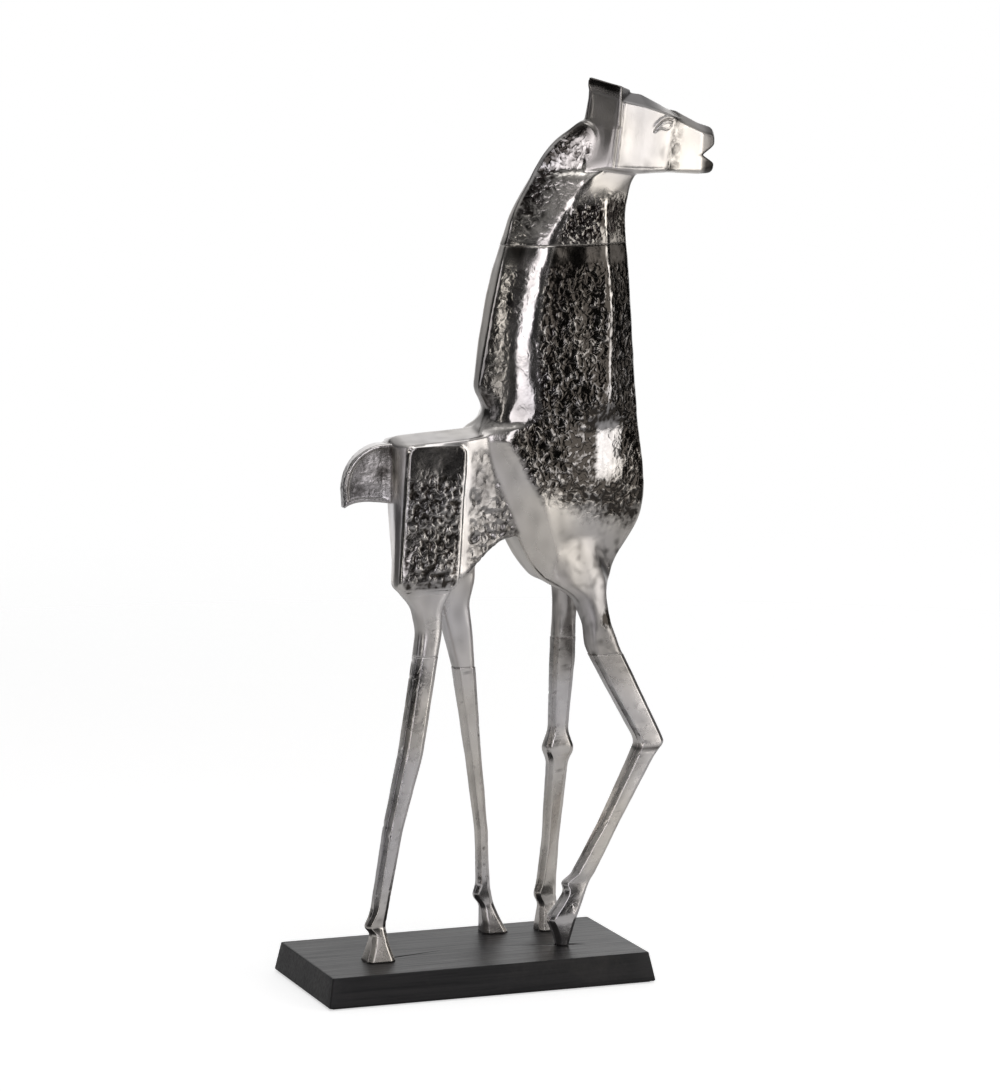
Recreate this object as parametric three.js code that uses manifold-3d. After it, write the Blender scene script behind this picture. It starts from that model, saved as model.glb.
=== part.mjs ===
// Standing horse ornament: nickel-plated cast aluminium on a black wooden plinth.
// Millimetres, +Z up. The origin is the centre of the resting face under the felt.
// +X is the way the horse faces, -Y is its right side.
import * as THREE from 'three';
import { mergeVertices } from 'three/addons/utils/BufferGeometryUtils.js';
import Module from 'manifold-3d';

const wasm = await Module();
wasm.setup();

// Driving dimensions
const GAP = 0.3; // clearance between pieces that seat on each other
const PLINTH = { length: 300, width: 158, thickness: 25.5, taper: 4.4, edge: 1.2 };
const FELT = { thickness: 1.5, inset: 4 };
const HORSE_Y = 10; // the horse's median plane, measured from the plinth's centre line
const LEG_LENGTH = 260; // plinth top to the level where the legs are welded on
const KNEE_HEIGHT = 177; // plinth top to the bent knee
const FETLOCK_HEIGHT = 48; // plinth top to the spur above a standing hoof
const WALL = 5; // wall of the hollow castings
const CHAMFER = 4; // corner facet of the legs
const CHAMFER_SHARE = 0.3; // the most that a corner facet takes of a thin section
const WELD = { height: 3.4, depth: 2.6 };
const SCREW = { shank: 5, head: 9, headHeight: 4.5, engagement: 15 };
const TOE_SCREW = { shank: 4, head: 7.5, headHeight: 3.5, engagement: 12 };
const WASHER = { thickness: 1, overhang: 1.2, clearance: 0.6 };
const COUNTERBORE_DEPTH = 8;
const ROUND = 32; // sides of a turned piece
const OVERCUT = 1; // how far a cut runs past the face that it opens
const TIP_ROOM = 1; // left in a tapped hole beyond the screw's tip

const PLINTH_TOP = FELT.thickness + PLINTH.thickness;
const LEG_TOP = LEG_LENGTH;

// Solids and cuts

// A closed geometry as a solid that can be joined and cut.
function solid(geometry) {
  geometry.deleteAttribute('normal');
  geometry.deleteAttribute('uv');
  const merged = mergeVertices(geometry, 1e-4);
  return new wasm.Manifold(new wasm.Mesh({
    numProp: 3,
    vertProperties: new Float32Array(merged.attributes.position.array),
    triVerts: new Uint32Array(merged.index.array),
  }));
}

// A skin through rings with the same number of points, closed at both ends.
function loft(rings) {
  const count = rings[0].length;
  const points = rings.flat();
  const triangles = [];
  for (let ring = 0; ring + 1 < rings.length; ring++) {
    for (let side = 0; side < count; side++) {
      const next = (side + 1) % count;
      const a = ring * count + side;
      const b = ring * count + next;
      triangles.push(a, b, a + count, b, b + count, a + count);
    }
  }
  [0, rings.length - 1].forEach((ring) => {
    const centre = new THREE.Vector3();
    rings[ring].forEach((p) => centre.add(new THREE.Vector3(...p).divideScalar(count)));
    points.push(centre.toArray());
    for (let side = 0; side < count; side++) {
      const a = ring * count + side;
      const b = ring * count + (side + 1) % count;
      triangles.push(...(ring === 0 ? [b, a, points.length - 1] : [a, b, points.length - 1]));
    }
  });
  const geometry = new THREE.BufferGeometry();
  geometry.setAttribute('position', new THREE.Float32BufferAttribute(points.flat(), 3));
  geometry.setIndex(signedVolume(points, triangles) < 0 ? triangles.reverse() : triangles);
  return solid(geometry);
}

// Six times the volume that the triangles enclose, negative when they face inwards.
function signedVolume(points, triangles) {
  let sum = 0;
  for (let i = 0; i < triangles.length; i += 3) {
    const [a, b, c] = [0, 1, 2].map((k) => new THREE.Vector3(...points[triangles[i + k]]));
    sum += a.dot(b.cross(c));
  }
  return sum;
}

function box(low, high) {
  const size = high.map((value, axis) => value - low[axis]);
  const middle = high.map((value, axis) => (value + low[axis]) / 2);
  return solid(new THREE.BoxGeometry(...size).translate(...middle));
}

// Everything between two heights.
const FAR = 1000;
const slab = (low, high) => box([-FAR, -FAR, low], [FAR, FAR, high]);

// An upright round bar between two heights.
function bar(x, y, diameter, low, high) {
  const cylinder = new THREE.CylinderGeometry(diameter / 2, diameter / 2, high - low, ROUND);
  return solid(cylinder.rotateX(Math.PI / 2).translate(x, y, (low + high) / 2));
}

// The outline of a convex polygon moved inwards by a distance.
function inset(outline, distance) {
  const count = outline.length;
  const lines = outline.map(([x, y], i) => {
    const [nextX, nextY] = outline[(i + 1) % count];
    const run = Math.hypot(nextX - x, nextY - y);
    const normal = [-(nextY - y) / run, (nextX - x) / run];
    return { normal, offset: normal[0] * x + normal[1] * y + distance };
  });
  return lines.map((line, i) => {
    const last = lines[(i + count - 1) % count];
    const cross = last.normal[0] * line.normal[1] - last.normal[1] * line.normal[0];
    return [
      (last.offset * line.normal[1] - line.offset * last.normal[1]) / cross,
      (line.offset * last.normal[0] - last.offset * line.normal[0]) / cross,
    ];
  });
}

// Neck and chest: one column of level sections, alike on both sides.
// Each section goes from the narrow rear face over the mane ridge and the front bevel
// to the narrow front face, as [x, half width], at a height from the leg weld level.
const NECK_WELD = 356;
const CAVITY = { low: 110, high: 440 }; // the sections between these are cast hollow
const COLUMN = [
  { up: 61, rear: [70, 20], ridge: [75, 30], bevel: [108, 30], front: [136, 18] },
  { up: 78, rear: [58, 22], ridge: [75, 32], bevel: [111, 32], front: [142, 15] },
  { up: 95, rear: [49, 23], ridge: [72, 34], bevel: [116, 33], front: [155, 13] },
  { up: 113, rear: [42, 24], ridge: [66, 36], bevel: [121, 33], front: [166, 12] },
  { up: 135, rear: [33, 25], ridge: [58, 36], bevel: [125, 33], front: [170, 12] },
  { up: 165, rear: [21, 26], ridge: [43, 36], bevel: [127, 32], front: [168, 12] },
  { up: 190, rear: [11, 25], ridge: [30, 35], bevel: [127, 31], front: [165, 11] },
  { up: 197, rear: [10, 22], ridge: [34, 35], bevel: [127, 31], front: [164, 11] },
  { up: 204, rear: [17, 10], ridge: [54, 34], bevel: [127, 31], front: [163, 11] },
  { up: 212, rear: [22, 8], ridge: [57, 34], bevel: [127, 30], front: [163, 11] },
  { up: 220, rear: [20, 8], ridge: [58, 34], bevel: [127, 30], front: [162, 11] },
  { up: 232, rear: [14, 8], ridge: [58, 33], bevel: [128, 29], front: [161, 11] },
  { up: 268, rear: [19, 11], ridge: [56, 32], bevel: [129, 28], front: [159, 10] },
  { up: 306, rear: [26, 13], ridge: [60, 31], bevel: [130, 26], front: [157, 10] },
  { up: 335, rear: [33, 11], ridge: [67, 30], bevel: [128, 24], front: [155, 9] },
  { up: 358, rear: [40, 8], ridge: [74, 29], bevel: [127, 22], front: [153, 9] },
  { up: 382, rear: [47, 7], ridge: [88, 26], bevel: [126, 20], front: [152, 8] },
  { up: 399, rear: [56, 8], ridge: [97, 23], bevel: [128, 18], front: [155, 8] },
  { up: 412, rear: [64, 9], ridge: [109, 21], bevel: [131, 17], front: [160, 8] },
  { up: 421, rear: [68, 9], ridge: [126, 19], bevel: [136, 17], front: [166, 8] },
  { up: 434, rear: [77, 9], ridge: [124, 18], bevel: [140, 17], front: [164, 8] },
  { up: 446, rear: [88, 9], ridge: [124, 17], bevel: [141, 17], front: [160, 8] },
  { up: 455, rear: [102, 8], ridge: [126, 16], bevel: [142, 16], front: [158, 8] },
  { up: 463, rear: [117, 7], ridge: [127, 14], bevel: [142, 15], front: [156, 8] },
];

function columnOutline({ rear, ridge, bevel, front }) {
  const right = [rear, ridge, bevel, front].map(([x, half]) => [x, -half]);
  const left = [front, bevel, ridge, rear].map(([x, half]) => [x, half]);
  return [...right, ...left];
}

function column(sections, distance) {
  return loft(sections.map((section) =>
    inset(columnOutline(section), distance).map(([x, y]) => [x, y, LEG_TOP + section.up])));
}

// Barrel and rump: sections along the back. The lower edge of the left side runs
// forward and that of the right side back, as the hips swing in the walk.
const BARREL = [
  { top: -66, right: -69, left: -54, halfTop: 14, halfLow: 22, edge: 187, crown: 4, low: 65 },
  { top: -56, right: -67, left: -36, halfTop: 33, halfLow: 33, edge: 188, crown: 6, low: 65 },
  { top: -3, right: -11, left: 18, halfTop: 33, halfLow: 33, edge: 192, crown: 6, low: 67 },
  { top: 20, right: 27, left: 34, halfTop: 26, halfLow: 25, edge: 194, crown: 5, low: 99 },
  { top: 62, right: 62, left: 62, halfTop: 24, halfLow: 24, edge: 194, crown: 4, low: 108 },
];

function barrel(distance) {
  return loft(BARREL.map((s, i) => {
    const ends = i === 0 ? distance : 0;
    const edge = LEG_TOP + s.edge - distance;
    const low = LEG_TOP + s.low + distance;
    return [
      [s.top + ends, -(s.halfTop - distance), edge],
      [s.right + ends, -(s.halfLow - distance), low],
      [s.left + ends, s.halfLow - distance, low],
      [s.top + ends, s.halfTop - distance, edge],
      [s.top + ends, 0, edge + s.crown],
    ];
  }));
}

// Legs: level sections from inside the body to the hoof. Heights are above the plinth.
const between = (low, high, share) => low + (high - low) * share;
const LEGS = {
  hind_right: {
    screw: { x: -87, y: -32, kind: SCREW },
    sections: [
      { up: LEG_TOP + 100, rear: -60, front: -18, y: -17, thick: 28 },
      { up: LEG_TOP + 64, rear: -66, front: -14, y: -18, thick: 29 },
      { up: LEG_TOP + 46, rear: -51, front: -24, y: -19, thick: 26 },
      { up: LEG_TOP + 24, rear: -47, front: -25, y: -20, thick: 22 },
      { up: LEG_TOP, rear: -50, front: -30, y: -21, thick: 21 },
      { up: between(FETLOCK_HEIGHT, LEG_TOP, 0.62), rear: -65, front: -45, y: -26, thick: 20 },
      { up: between(FETLOCK_HEIGHT, LEG_TOP, 0.3), rear: -81, front: -65, y: -29, thick: 18 },
      { up: FETLOCK_HEIGHT - 5, rear: -93, front: -79, y: -31, thick: 16 },
      { up: FETLOCK_HEIGHT - 18, rear: -100, front: -81, y: -32, thick: 12 },
      { up: FETLOCK_HEIGHT - 24, rear: -94, front: -80, y: -32, thick: 15 },
      { up: 13, rear: -96, front: -78, y: -32, thick: 20 },
      { up: GAP, rear: -100, front: -74, y: -32, thick: 25 },
    ],
  },
  hind_left: {
    screw: { x: 44, y: 38, kind: SCREW },
    sections: [
      { up: LEG_TOP + 100, rear: -32, front: 18, y: 17, thick: 28 },
      { up: LEG_TOP + 64, rear: -34, front: 18, y: 18, thick: 29 },
      { up: LEG_TOP + 42, rear: -16, front: 14, y: 19, thick: 24 },
      { up: LEG_TOP + 12, rear: -7, front: 18, y: 20, thick: 19 },
      { up: LEG_TOP - 16, rear: 1, front: 21, y: 22, thick: 17 },
      { up: between(FETLOCK_HEIGHT, LEG_TOP, 0.55), rear: 15, front: 29, y: 28, thick: 15 },
      { up: between(FETLOCK_HEIGHT, LEG_TOP, 0.22), rear: 26, front: 37, y: 33, thick: 13 },
      { up: FETLOCK_HEIGHT - 3, rear: 28, front: 40, y: 36, thick: 13 },
      { up: FETLOCK_HEIGHT - 14, rear: 24, front: 42, y: 36, thick: 11 },
      { up: FETLOCK_HEIGHT - 22, rear: 31, front: 44, y: 37, thick: 13 },
      { up: 13, rear: 32, front: 49, y: 37, thick: 19 },
      { up: GAP, rear: 33, front: 56, y: 38, thick: 23 },
    ],
  },
  front_left: {
    screw: { x: 94, y: 31, kind: SCREW },
    sections: [
      { up: LEG_TOP + 90, rear: 88, front: 122, y: 16, thick: 26 },
      { up: LEG_TOP + 55, rear: 92, front: 120, y: 18, thick: 23 },
      { up: LEG_TOP + 20, rear: 94, front: 115, y: 20, thick: 19 },
      { up: LEG_TOP - 15, rear: 93, front: 114, y: 21, thick: 18 },
      { up: KNEE_HEIGHT + 5, rear: 92, front: 109, y: 24, thick: 16 },
      { up: KNEE_HEIGHT - 12, rear: 87, front: 115, y: 25, thick: 20 },
      { up: KNEE_HEIGHT - 22, rear: 91, front: 110, y: 25, thick: 16 },
      { up: between(FETLOCK_HEIGHT, KNEE_HEIGHT, 0.25), rear: 88, front: 103, y: 29, thick: 14 },
      { up: FETLOCK_HEIGHT - 2, rear: 84, front: 101, y: 30, thick: 14 },
      { up: FETLOCK_HEIGHT - 16, rear: 80, front: 101, y: 30, thick: 12 },
      { up: FETLOCK_HEIGHT - 24, rear: 85, front: 102, y: 31, thick: 14 },
      { up: 12, rear: 84, front: 104, y: 31, thick: 19 },
      { up: GAP, rear: 83, front: 107, y: 31, thick: 23 },
    ],
  },
  front_right: {
    screw: { x: 83.5, y: -32, kind: TOE_SCREW },
    sections: [
      { up: LEG_TOP + 90, rear: 84, front: 118, y: -12, thick: 20 },
      { up: LEG_TOP + 60, rear: 80, front: 130, y: -16, thick: 24 },
      { up: LEG_TOP + 46, rear: 97, front: 130, y: -18, thick: 24 },
      { up: LEG_TOP + 22, rear: 108, front: 133, y: -20, thick: 22 },
      { up: LEG_TOP + 2, rear: 110, front: 140, y: -21, thick: 20 },
      { up: between(KNEE_HEIGHT, LEG_TOP, 0.5), rear: 133, front: 161, y: -23, thick: 19 },
      { up: KNEE_HEIGHT + 4, rear: 154, front: 179, y: -24, thick: 20 },
      { up: KNEE_HEIGHT - 2, rear: 156, front: 181, y: -24, thick: 21 },
      { up: KNEE_HEIGHT - 14, rear: 150, front: 171, y: -25, thick: 19 },
      { up: between(FETLOCK_HEIGHT, KNEE_HEIGHT, 0.45), rear: 120, front: 138, y: -28, thick: 16 },
      { up: FETLOCK_HEIGHT + 14, rear: 93, front: 114, y: -30, thick: 14 },
      { up: FETLOCK_HEIGHT + 8, rear: 83, front: 110, y: -30, thick: 12 },
      { up: FETLOCK_HEIGHT, rear: 86, front: 106, y: -31, thick: 14 },
      { up: FETLOCK_HEIGHT - 10, rear: 80, front: 102, y: -31, thick: 16 },
      { up: 25, rear: 69, front: 96, y: -32, thick: 18 },
      { up: 11, rear: 75, front: 92, y: -32, thick: 16 },
      { up: GAP, rear: 78, front: 89, y: -32, thick: 13 },
    ],
  },
};
const LEG_WELD = {
  hind_right: LEG_TOP + 3,
  hind_left: LEG_TOP - 16,
  front_left: LEG_TOP + 6,
  front_right: LEG_TOP - 4,
};

function legOutline({ rear, front, y, thick }) {
  const low = y - thick / 2;
  const high = y + thick / 2;
  const c = Math.min(CHAMFER, thick * CHAMFER_SHARE, (front - rear) * CHAMFER_SHARE);
  return [
    [rear, low + c], [rear + c, low], [front - c, low], [front, low + c],
    [front, high - c], [front - c, high], [rear + c, high], [rear, high - c],
  ];
}

function leg(sections, distance) {
  return loft(sections.map((section) =>
    inset(legOutline(section), distance).map(([x, y]) => [x, y, section.up])));
}

// Head: sections from the cheek's rear ridge to the nose, heights above the leg welds.
// top is the ridge of the forehead, brow and jaw are the cheek's edges, as [x, half, up].
const HEAD = [
  { top: [143, 0, 488], brow: [141, 17, 480], jaw: [131, 19, 421], under: [134, 8, 416] },
  { top: [168, 0, 484], brow: [167, 19, 474], jaw: [160, 20, 417], under: [161, 9, 414] },
  { top: [194, 0, 471], brow: [192, 20, 466], jaw: [182, 20, 418], under: [183, 9, 415] },
  { top: [199, 0, 469], brow: [200, 14, 461], jaw: [193, 14, 417], under: [193, 7, 415] },
  { top: [226, 0, 457], brow: [225, 11, 450], jaw: [222, 11, 416], under: [222, 5, 413] },
  { top: [239, 0, 452], brow: [238, 8, 445], jaw: [237, 8, 420], under: [234, 4, 414] },
];
const MOUTH = { corner: [228, 430], upper: [250, 440], lower: [250, 420] };
const EARS = {
  root: { rear: 119, rearHalf: 6, front: 150, frontHalf: 14, up: 452 },
  crown: { rear: 119, rearHalf: 5, front: 151, frontHalf: 9, up: 486 },
  tip: { rear: 119, rearHalf: 3, front: 123, frontHalf: 4, up: 499 },
};

function headBlock() {
  const raise = ([x, half, up], side) => [x, side * half, LEG_TOP + up];
  const skull = loft(HEAD.map(({ top, brow, jaw, under }) => [
    raise(brow, -1), raise(jaw, -1), raise(under, -1),
    raise(under, 1), raise(jaw, 1), raise(brow, 1), raise(top, 1),
  ]));
  const gap = new THREE.Shape();
  gap.moveTo(...MOUTH.corner);
  gap.lineTo(...MOUTH.lower);
  gap.lineTo(...MOUTH.upper);
  const mouth = new THREE.ExtrudeGeometry(gap, { depth: 2 * FAR, bevelEnabled: false });
  return skull.subtract(solid(mouth.rotateX(Math.PI / 2).translate(0, FAR, LEG_TOP)));
}

// The ears lie together: one wedge, narrow behind, that rises back to its tip.
function ears() {
  return loft(Object.values(EARS).map(({ rear, rearHalf, front, frontHalf, up }) => [
    [rear, -rearHalf, LEG_TOP + up], [front, -frontHalf, LEG_TOP + up],
    [front, frontHalf, LEG_TOP + up], [rear, rearHalf, LEG_TOP + up],
  ]));
}

// Tail: a curved blade seen from the side, thin at its rear rim and thick at its root.
const TAIL = {
  root: -66, inside: -54, top: 189, low: 136,
  shoulder: [-76, 188], back: [[-92, 185], [-107, 172], [-108, 150]],
  tip: [-107, 133], underside: [[-96, 141], [-82, 138], [-66, 136]],
  rimThickness: 9, rootThickness: 20, run: 42, coreInset: 1, curveSteps: 8,
};

function tailOutline() {
  const shape = new THREE.Shape();
  shape.moveTo(TAIL.inside, TAIL.top);
  shape.lineTo(...TAIL.shoulder);
  shape.bezierCurveTo(...TAIL.back.flat());
  shape.lineTo(...TAIL.tip);
  shape.bezierCurveTo(...TAIL.underside.flat());
  shape.lineTo(TAIL.inside, TAIL.low);
  return shape;
}

// The blade's thickness grows from the rim to the root.
function tailBlade() {
  const geometry = new THREE.ExtrudeGeometry(tailOutline(), {
    depth: 1, bevelEnabled: false, curveSegments: TAIL.curveSteps,
  });
  const position = geometry.attributes.position;
  for (let i = 0; i < position.count; i++) {
    const share = Math.min(1, Math.max(0, (TAIL.root - position.getX(i)) / TAIL.run));
    const thickness = between(TAIL.rootThickness, TAIL.rimThickness, share);
    position.setZ(i, (position.getZ(i) - 0.5) * thickness);
  }
  return solid(geometry.rotateX(Math.PI / 2).translate(0, 0, LEG_TOP));
}

// The middle of the tail's root, which reaches through its weld.
function tailCore(distance) {
  const half = TAIL.rootThickness / 2 - distance;
  const margin = distance + TAIL.coreInset;
  return box(
    [TAIL.root - 2 * WELD.height, -half, LEG_TOP + TAIL.low + margin],
    [TAIL.inside, half, LEG_TOP + TAIL.top - margin],
  );
}

function tailPieces() {
  const blade = tailBlade();
  const core = blade.intersect(tailCore(WELD.depth + GAP)).subtract(barrel(-GAP));
  const casting = blade.subtract(barrel(-WELD.height - GAP)).add(core);
  const weld = blade.intersect(barrel(-WELD.height)).subtract(barrel(-GAP));
  return { tail_casting: casting, weld_tail: weld.subtract(tailCore(WELD.depth)) };
}

// Body, head, legs and the weld beads that join them

function bodyPieces() {
  const outside = column(COLUMN, 0);
  const seam = LEG_TOP + NECK_WELD;
  const half = WELD.height / 2;
  const core = column(COLUMN, WELD.depth);
  const cast = COLUMN.filter(({ up }) => up > CAVITY.low && up < CAVITY.high);
  const hollow = column(cast, WALL).add(barrel(WALL));
  const lower = slab(-FAR, seam - half).add(core.intersect(slab(-FAR, seam - GAP / 2)));
  const upper = slab(seam + half, FAR).add(core.intersect(slab(seam + GAP / 2, FAR)));
  const pieces = {
    head_casting: outside.intersect(upper).subtract(hollow).add(headBlock()).add(ears()),
    weld_neck: outside.intersect(slab(seam - half + GAP, seam + half - GAP))
      .subtract(column(COLUMN, WELD.depth - GAP)),
  };
  let body = outside.intersect(lower).add(barrel(0));
  Object.entries(LEGS).forEach(([name, { screw, sections }]) => {
    const level = LEG_WELD[name];
    const whole = leg(sections, 0);
    const spigot = leg(sections, WELD.depth + GAP).intersect(slab(level - FAR, level + half));
    const { shank, engagement } = screw.kind;
    const thread = bar(screw.x, screw.y, shank + 2 * GAP, -OVERCUT, engagement + TIP_ROOM);
    body = body.add(whole.intersect(slab(level + half + GAP, FAR)));
    pieces[`leg_${name}`] = whole.intersect(slab(-FAR, level - half)).add(spigot).subtract(thread);
    pieces[`weld_leg_${name}`] = whole.intersect(slab(level - half + GAP, level + half))
      .subtract(leg(sections, WELD.depth));
  });
  pieces.body_casting = body.subtract(hollow);
  return pieces;
}

// Plinth, felt and fasteners

// Rectangle with small chamfered corners, moved inwards from the plinth's foot.
function plinthRing(inwards, z) {
  const x = PLINTH.length / 2 - inwards;
  const y = PLINTH.width / 2 - inwards;
  const c = PLINTH.edge;
  return [
    [-x, -y + c, z], [-x + c, -y, z], [x - c, -y, z], [x, -y + c, z],
    [x, y - c, z], [x - c, y, z], [-x + c, y, z], [-x, y - c, z],
  ];
}

function plinth() {
  const { edge, taper } = PLINTH;
  let block = loft([
    plinthRing(edge, FELT.thickness),
    plinthRing(0, FELT.thickness + edge),
    plinthRing(taper, PLINTH_TOP - edge),
    plinthRing(taper + edge, PLINTH_TOP),
  ]);
  Object.values(LEGS).forEach(({ screw: { x, y, kind } }) => {
    const well = kind.head + 2 * (WASHER.overhang + WASHER.clearance);
    block = block
      .subtract(bar(x, y + HORSE_Y, well, -OVERCUT, FELT.thickness + COUNTERBORE_DEPTH))
      .subtract(bar(x, y + HORSE_Y, kind.shank + 2 * GAP, -OVERCUT, PLINTH_TOP + OVERCUT));
  });
  return block;
}

function felt() {
  const shape = new THREE.BoxGeometry(
    PLINTH.length - 2 * FELT.inset, PLINTH.width - 2 * FELT.inset, FELT.thickness - GAP);
  return solid(shape.translate(0, 0, (FELT.thickness - GAP) / 2));
}

// A turned piece from its profile of [radius, height], starting and ending on the axis.
function turned(profile) {
  const points = profile.map(([radius, height]) => new THREE.Vector2(radius, height));
  return solid(new THREE.LatheGeometry(points, ROUND).rotateX(Math.PI / 2));
}

const WASHER_TOP = FELT.thickness + COUNTERBORE_DEPTH - GAP;
const HEAD_TOP = WASHER_TOP - WASHER.thickness - GAP;
const SOCKET_SHARE = 0.55; // hexagon socket, across corners, of the head

function screw({ shank, head, headHeight, engagement }) {
  const low = HEAD_TOP - headHeight;
  const tip = PLINTH_TOP + engagement;
  const point = shank / 4;
  const body = turned([
    [0, low], [head / 2, low], [head / 2, HEAD_TOP], [shank / 2, HEAD_TOP],
    [shank / 2, tip - point], [point, tip], [0, tip],
  ]);
  const across = head * SOCKET_SHARE / 2;
  const socket = new THREE.CylinderGeometry(across, across, headHeight, 6);
  return body.subtract(solid(socket.rotateX(Math.PI / 2).translate(0, 0, low)));
}

function washer({ shank, head }) {
  const low = WASHER_TOP - WASHER.thickness;
  return bar(0, 0, head + 2 * WASHER.overhang, low, WASHER_TOP)
    .subtract(bar(0, 0, shank + 2 * GAP, low - OVERCUT, WASHER_TOP + OVERCUT));
}

// Materials

const nickel = { color: 0xc9c4bc, metalness: 1, roughness: 0.25 };
const MATERIALS = {
  cast: nickel,
  weld: { ...nickel, roughness: 0.4 },
  wood: { color: 0x1c1c1e, metalness: 0, roughness: 0.45 },
  felt: { color: 0x1a1a1a, metalness: 0, roughness: 1 },
  steel: { color: 0xb5b7ba, metalness: 1, roughness: 0.35 },
};

// The scene

const sculpture = new THREE.Group();

// A solid as a named mesh, placed in the group.
function place(name, shape, finish, x = 0, y = 0, z = 0) {
  const { vertProperties, triVerts } = shape.getMesh();
  const geometry = new THREE.BufferGeometry();
  geometry.setAttribute('position', new THREE.BufferAttribute(vertProperties, 3));
  geometry.setIndex(new THREE.BufferAttribute(triVerts, 1));
  geometry.computeVertexNormals();
  const mesh = new THREE.Mesh(geometry, new THREE.MeshStandardMaterial(MATERIALS[finish]));
  mesh.name = name;
  mesh.position.set(x, y, z);
  sculpture.add(mesh);
}

place('felt_sheet', felt(), 'felt');
place('plinth', plinth(), 'wood');
Object.entries(LEGS).forEach(([name, { screw: { x, y, kind } }]) => {
  place(`screw_${name}`, screw(kind), 'steel', x, y + HORSE_Y);
  place(`washer_${name}`, washer(kind), 'steel', x, y + HORSE_Y);
});
Object.entries({ ...bodyPieces(), ...tailPieces() }).forEach(([name, shape]) => {
  place(name, shape, name.startsWith('weld') ? 'weld' : 'cast', 0, HORSE_Y, PLINTH_TOP);
});

export default sculpture;
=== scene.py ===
# %% [markdown]
# Standing horse in cast nickel-plated aluminium on a black wooden plinth.
# The real object is sand cast in pieces, welded, ground on its edges and plated. Its broad panels keep
# the wrinkled skin of the sand, and its edges and legs are satin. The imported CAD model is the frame:
# every piece made here takes its place from the same sizes, in millimetres, and rides on the one body.

# %% Load the frame
import math
import bpy
import numpy as np
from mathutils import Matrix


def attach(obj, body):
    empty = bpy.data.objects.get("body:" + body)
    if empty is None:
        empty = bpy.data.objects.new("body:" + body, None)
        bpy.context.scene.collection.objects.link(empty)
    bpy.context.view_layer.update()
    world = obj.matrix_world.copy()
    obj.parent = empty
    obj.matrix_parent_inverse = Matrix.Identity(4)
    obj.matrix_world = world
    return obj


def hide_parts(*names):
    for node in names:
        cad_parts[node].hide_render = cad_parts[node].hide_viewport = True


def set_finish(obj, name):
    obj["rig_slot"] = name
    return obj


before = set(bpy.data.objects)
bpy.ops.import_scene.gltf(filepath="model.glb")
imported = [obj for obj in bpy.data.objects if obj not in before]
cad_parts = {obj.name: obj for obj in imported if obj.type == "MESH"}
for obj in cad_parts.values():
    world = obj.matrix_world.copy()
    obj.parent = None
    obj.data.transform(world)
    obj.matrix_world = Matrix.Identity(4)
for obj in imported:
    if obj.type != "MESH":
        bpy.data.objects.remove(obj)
bpy.context.view_layer.update()

# %% [markdown]
# Sizes. The horse is worked out in its own millimetres: x forward, y to its left from its middle plane,
# z up from the top of the plinth. One function turns them into the metres of the frame.

# %% Sizes shared with the model
PLINTH_TOP = 27.0
HORSE_Y = 10.0
LEG_TOP = 260.0
KNEE = 177.0
FETLOCK = 48.0
NECK_WELD = LEG_TOP + 356.0
CHAMFER, CHAMFER_SHARE = 4.0, 0.3
WELD_HEIGHT = 3.4


def to_metres(points):
    """Horse millimetres to frame metres: add the place of the horse on its plinth, then divide by 1000."""
    return (np.asarray(points, float) + [0.0, HORSE_Y, PLINTH_TOP]) / 1000.0


print("top of the head at", to_metres([119, 0, LEG_TOP + 499]).round(4))

# %% [markdown]
# Camera. It stands where the photographer stood: a little in front of the right hind leg, four metres
# away and slightly above the horse, with a long lens, so the plinth's edges run nearly parallel.

# %% Camera at the photograph's angle
CAMERA_AZIMUTH, CAMERA_ELEVATION = math.radians(-20.175), math.radians(8.272)
CAMERA_DISTANCE = 4.0056
LOOK_AT = np.array([0.03366, 0.0, 0.38187])
FOCAL_PIXELS, IMAGE_HEIGHT = 4600.0, 1091.0

backward = np.array([
    math.sin(CAMERA_AZIMUTH) * math.cos(CAMERA_ELEVATION),
    -math.cos(CAMERA_AZIMUTH) * math.cos(CAMERA_ELEVATION),
    math.sin(CAMERA_ELEVATION),
])
camera_data = bpy.data.cameras.new("camera")
camera_data.sensor_fit = "VERTICAL"
camera_data.sensor_height = 36.0
camera_data.sensor_width = 36.0
camera_data.lens = FOCAL_PIXELS / IMAGE_HEIGHT * camera_data.sensor_height
camera = bpy.data.objects.new("camera", camera_data)
camera.location = LOOK_AT + backward * CAMERA_DISTANCE
camera.rotation_euler = (math.pi / 2 - CAMERA_ELEVATION, 0.0, CAMERA_AZIMUTH)
bpy.context.scene.collection.objects.link(camera)
bpy.context.scene.camera = camera
print("lens", round(camera_data.lens, 1), "mm at", [round(v, 3) for v in camera.location])

# %% [markdown]
# Curves through measured values. A casting has no knife-sharp corners, so a size that changes along the
# horse is a line through its knots with every corner rounded. A sum of rounded ramps does this for whole
# arrays at once, and can't overshoot as a spline can.


# %% Rounded lines
def ramp(u, reach):
    """Zero before -reach, u after +reach, and the parabola (u + reach)^2 / (4 reach) between them."""
    inner = np.clip(u + reach, 0.0, 2.0 * reach)
    return inner ** 2 / (4.0 * reach) + np.maximum(u - reach, 0.0)


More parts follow.
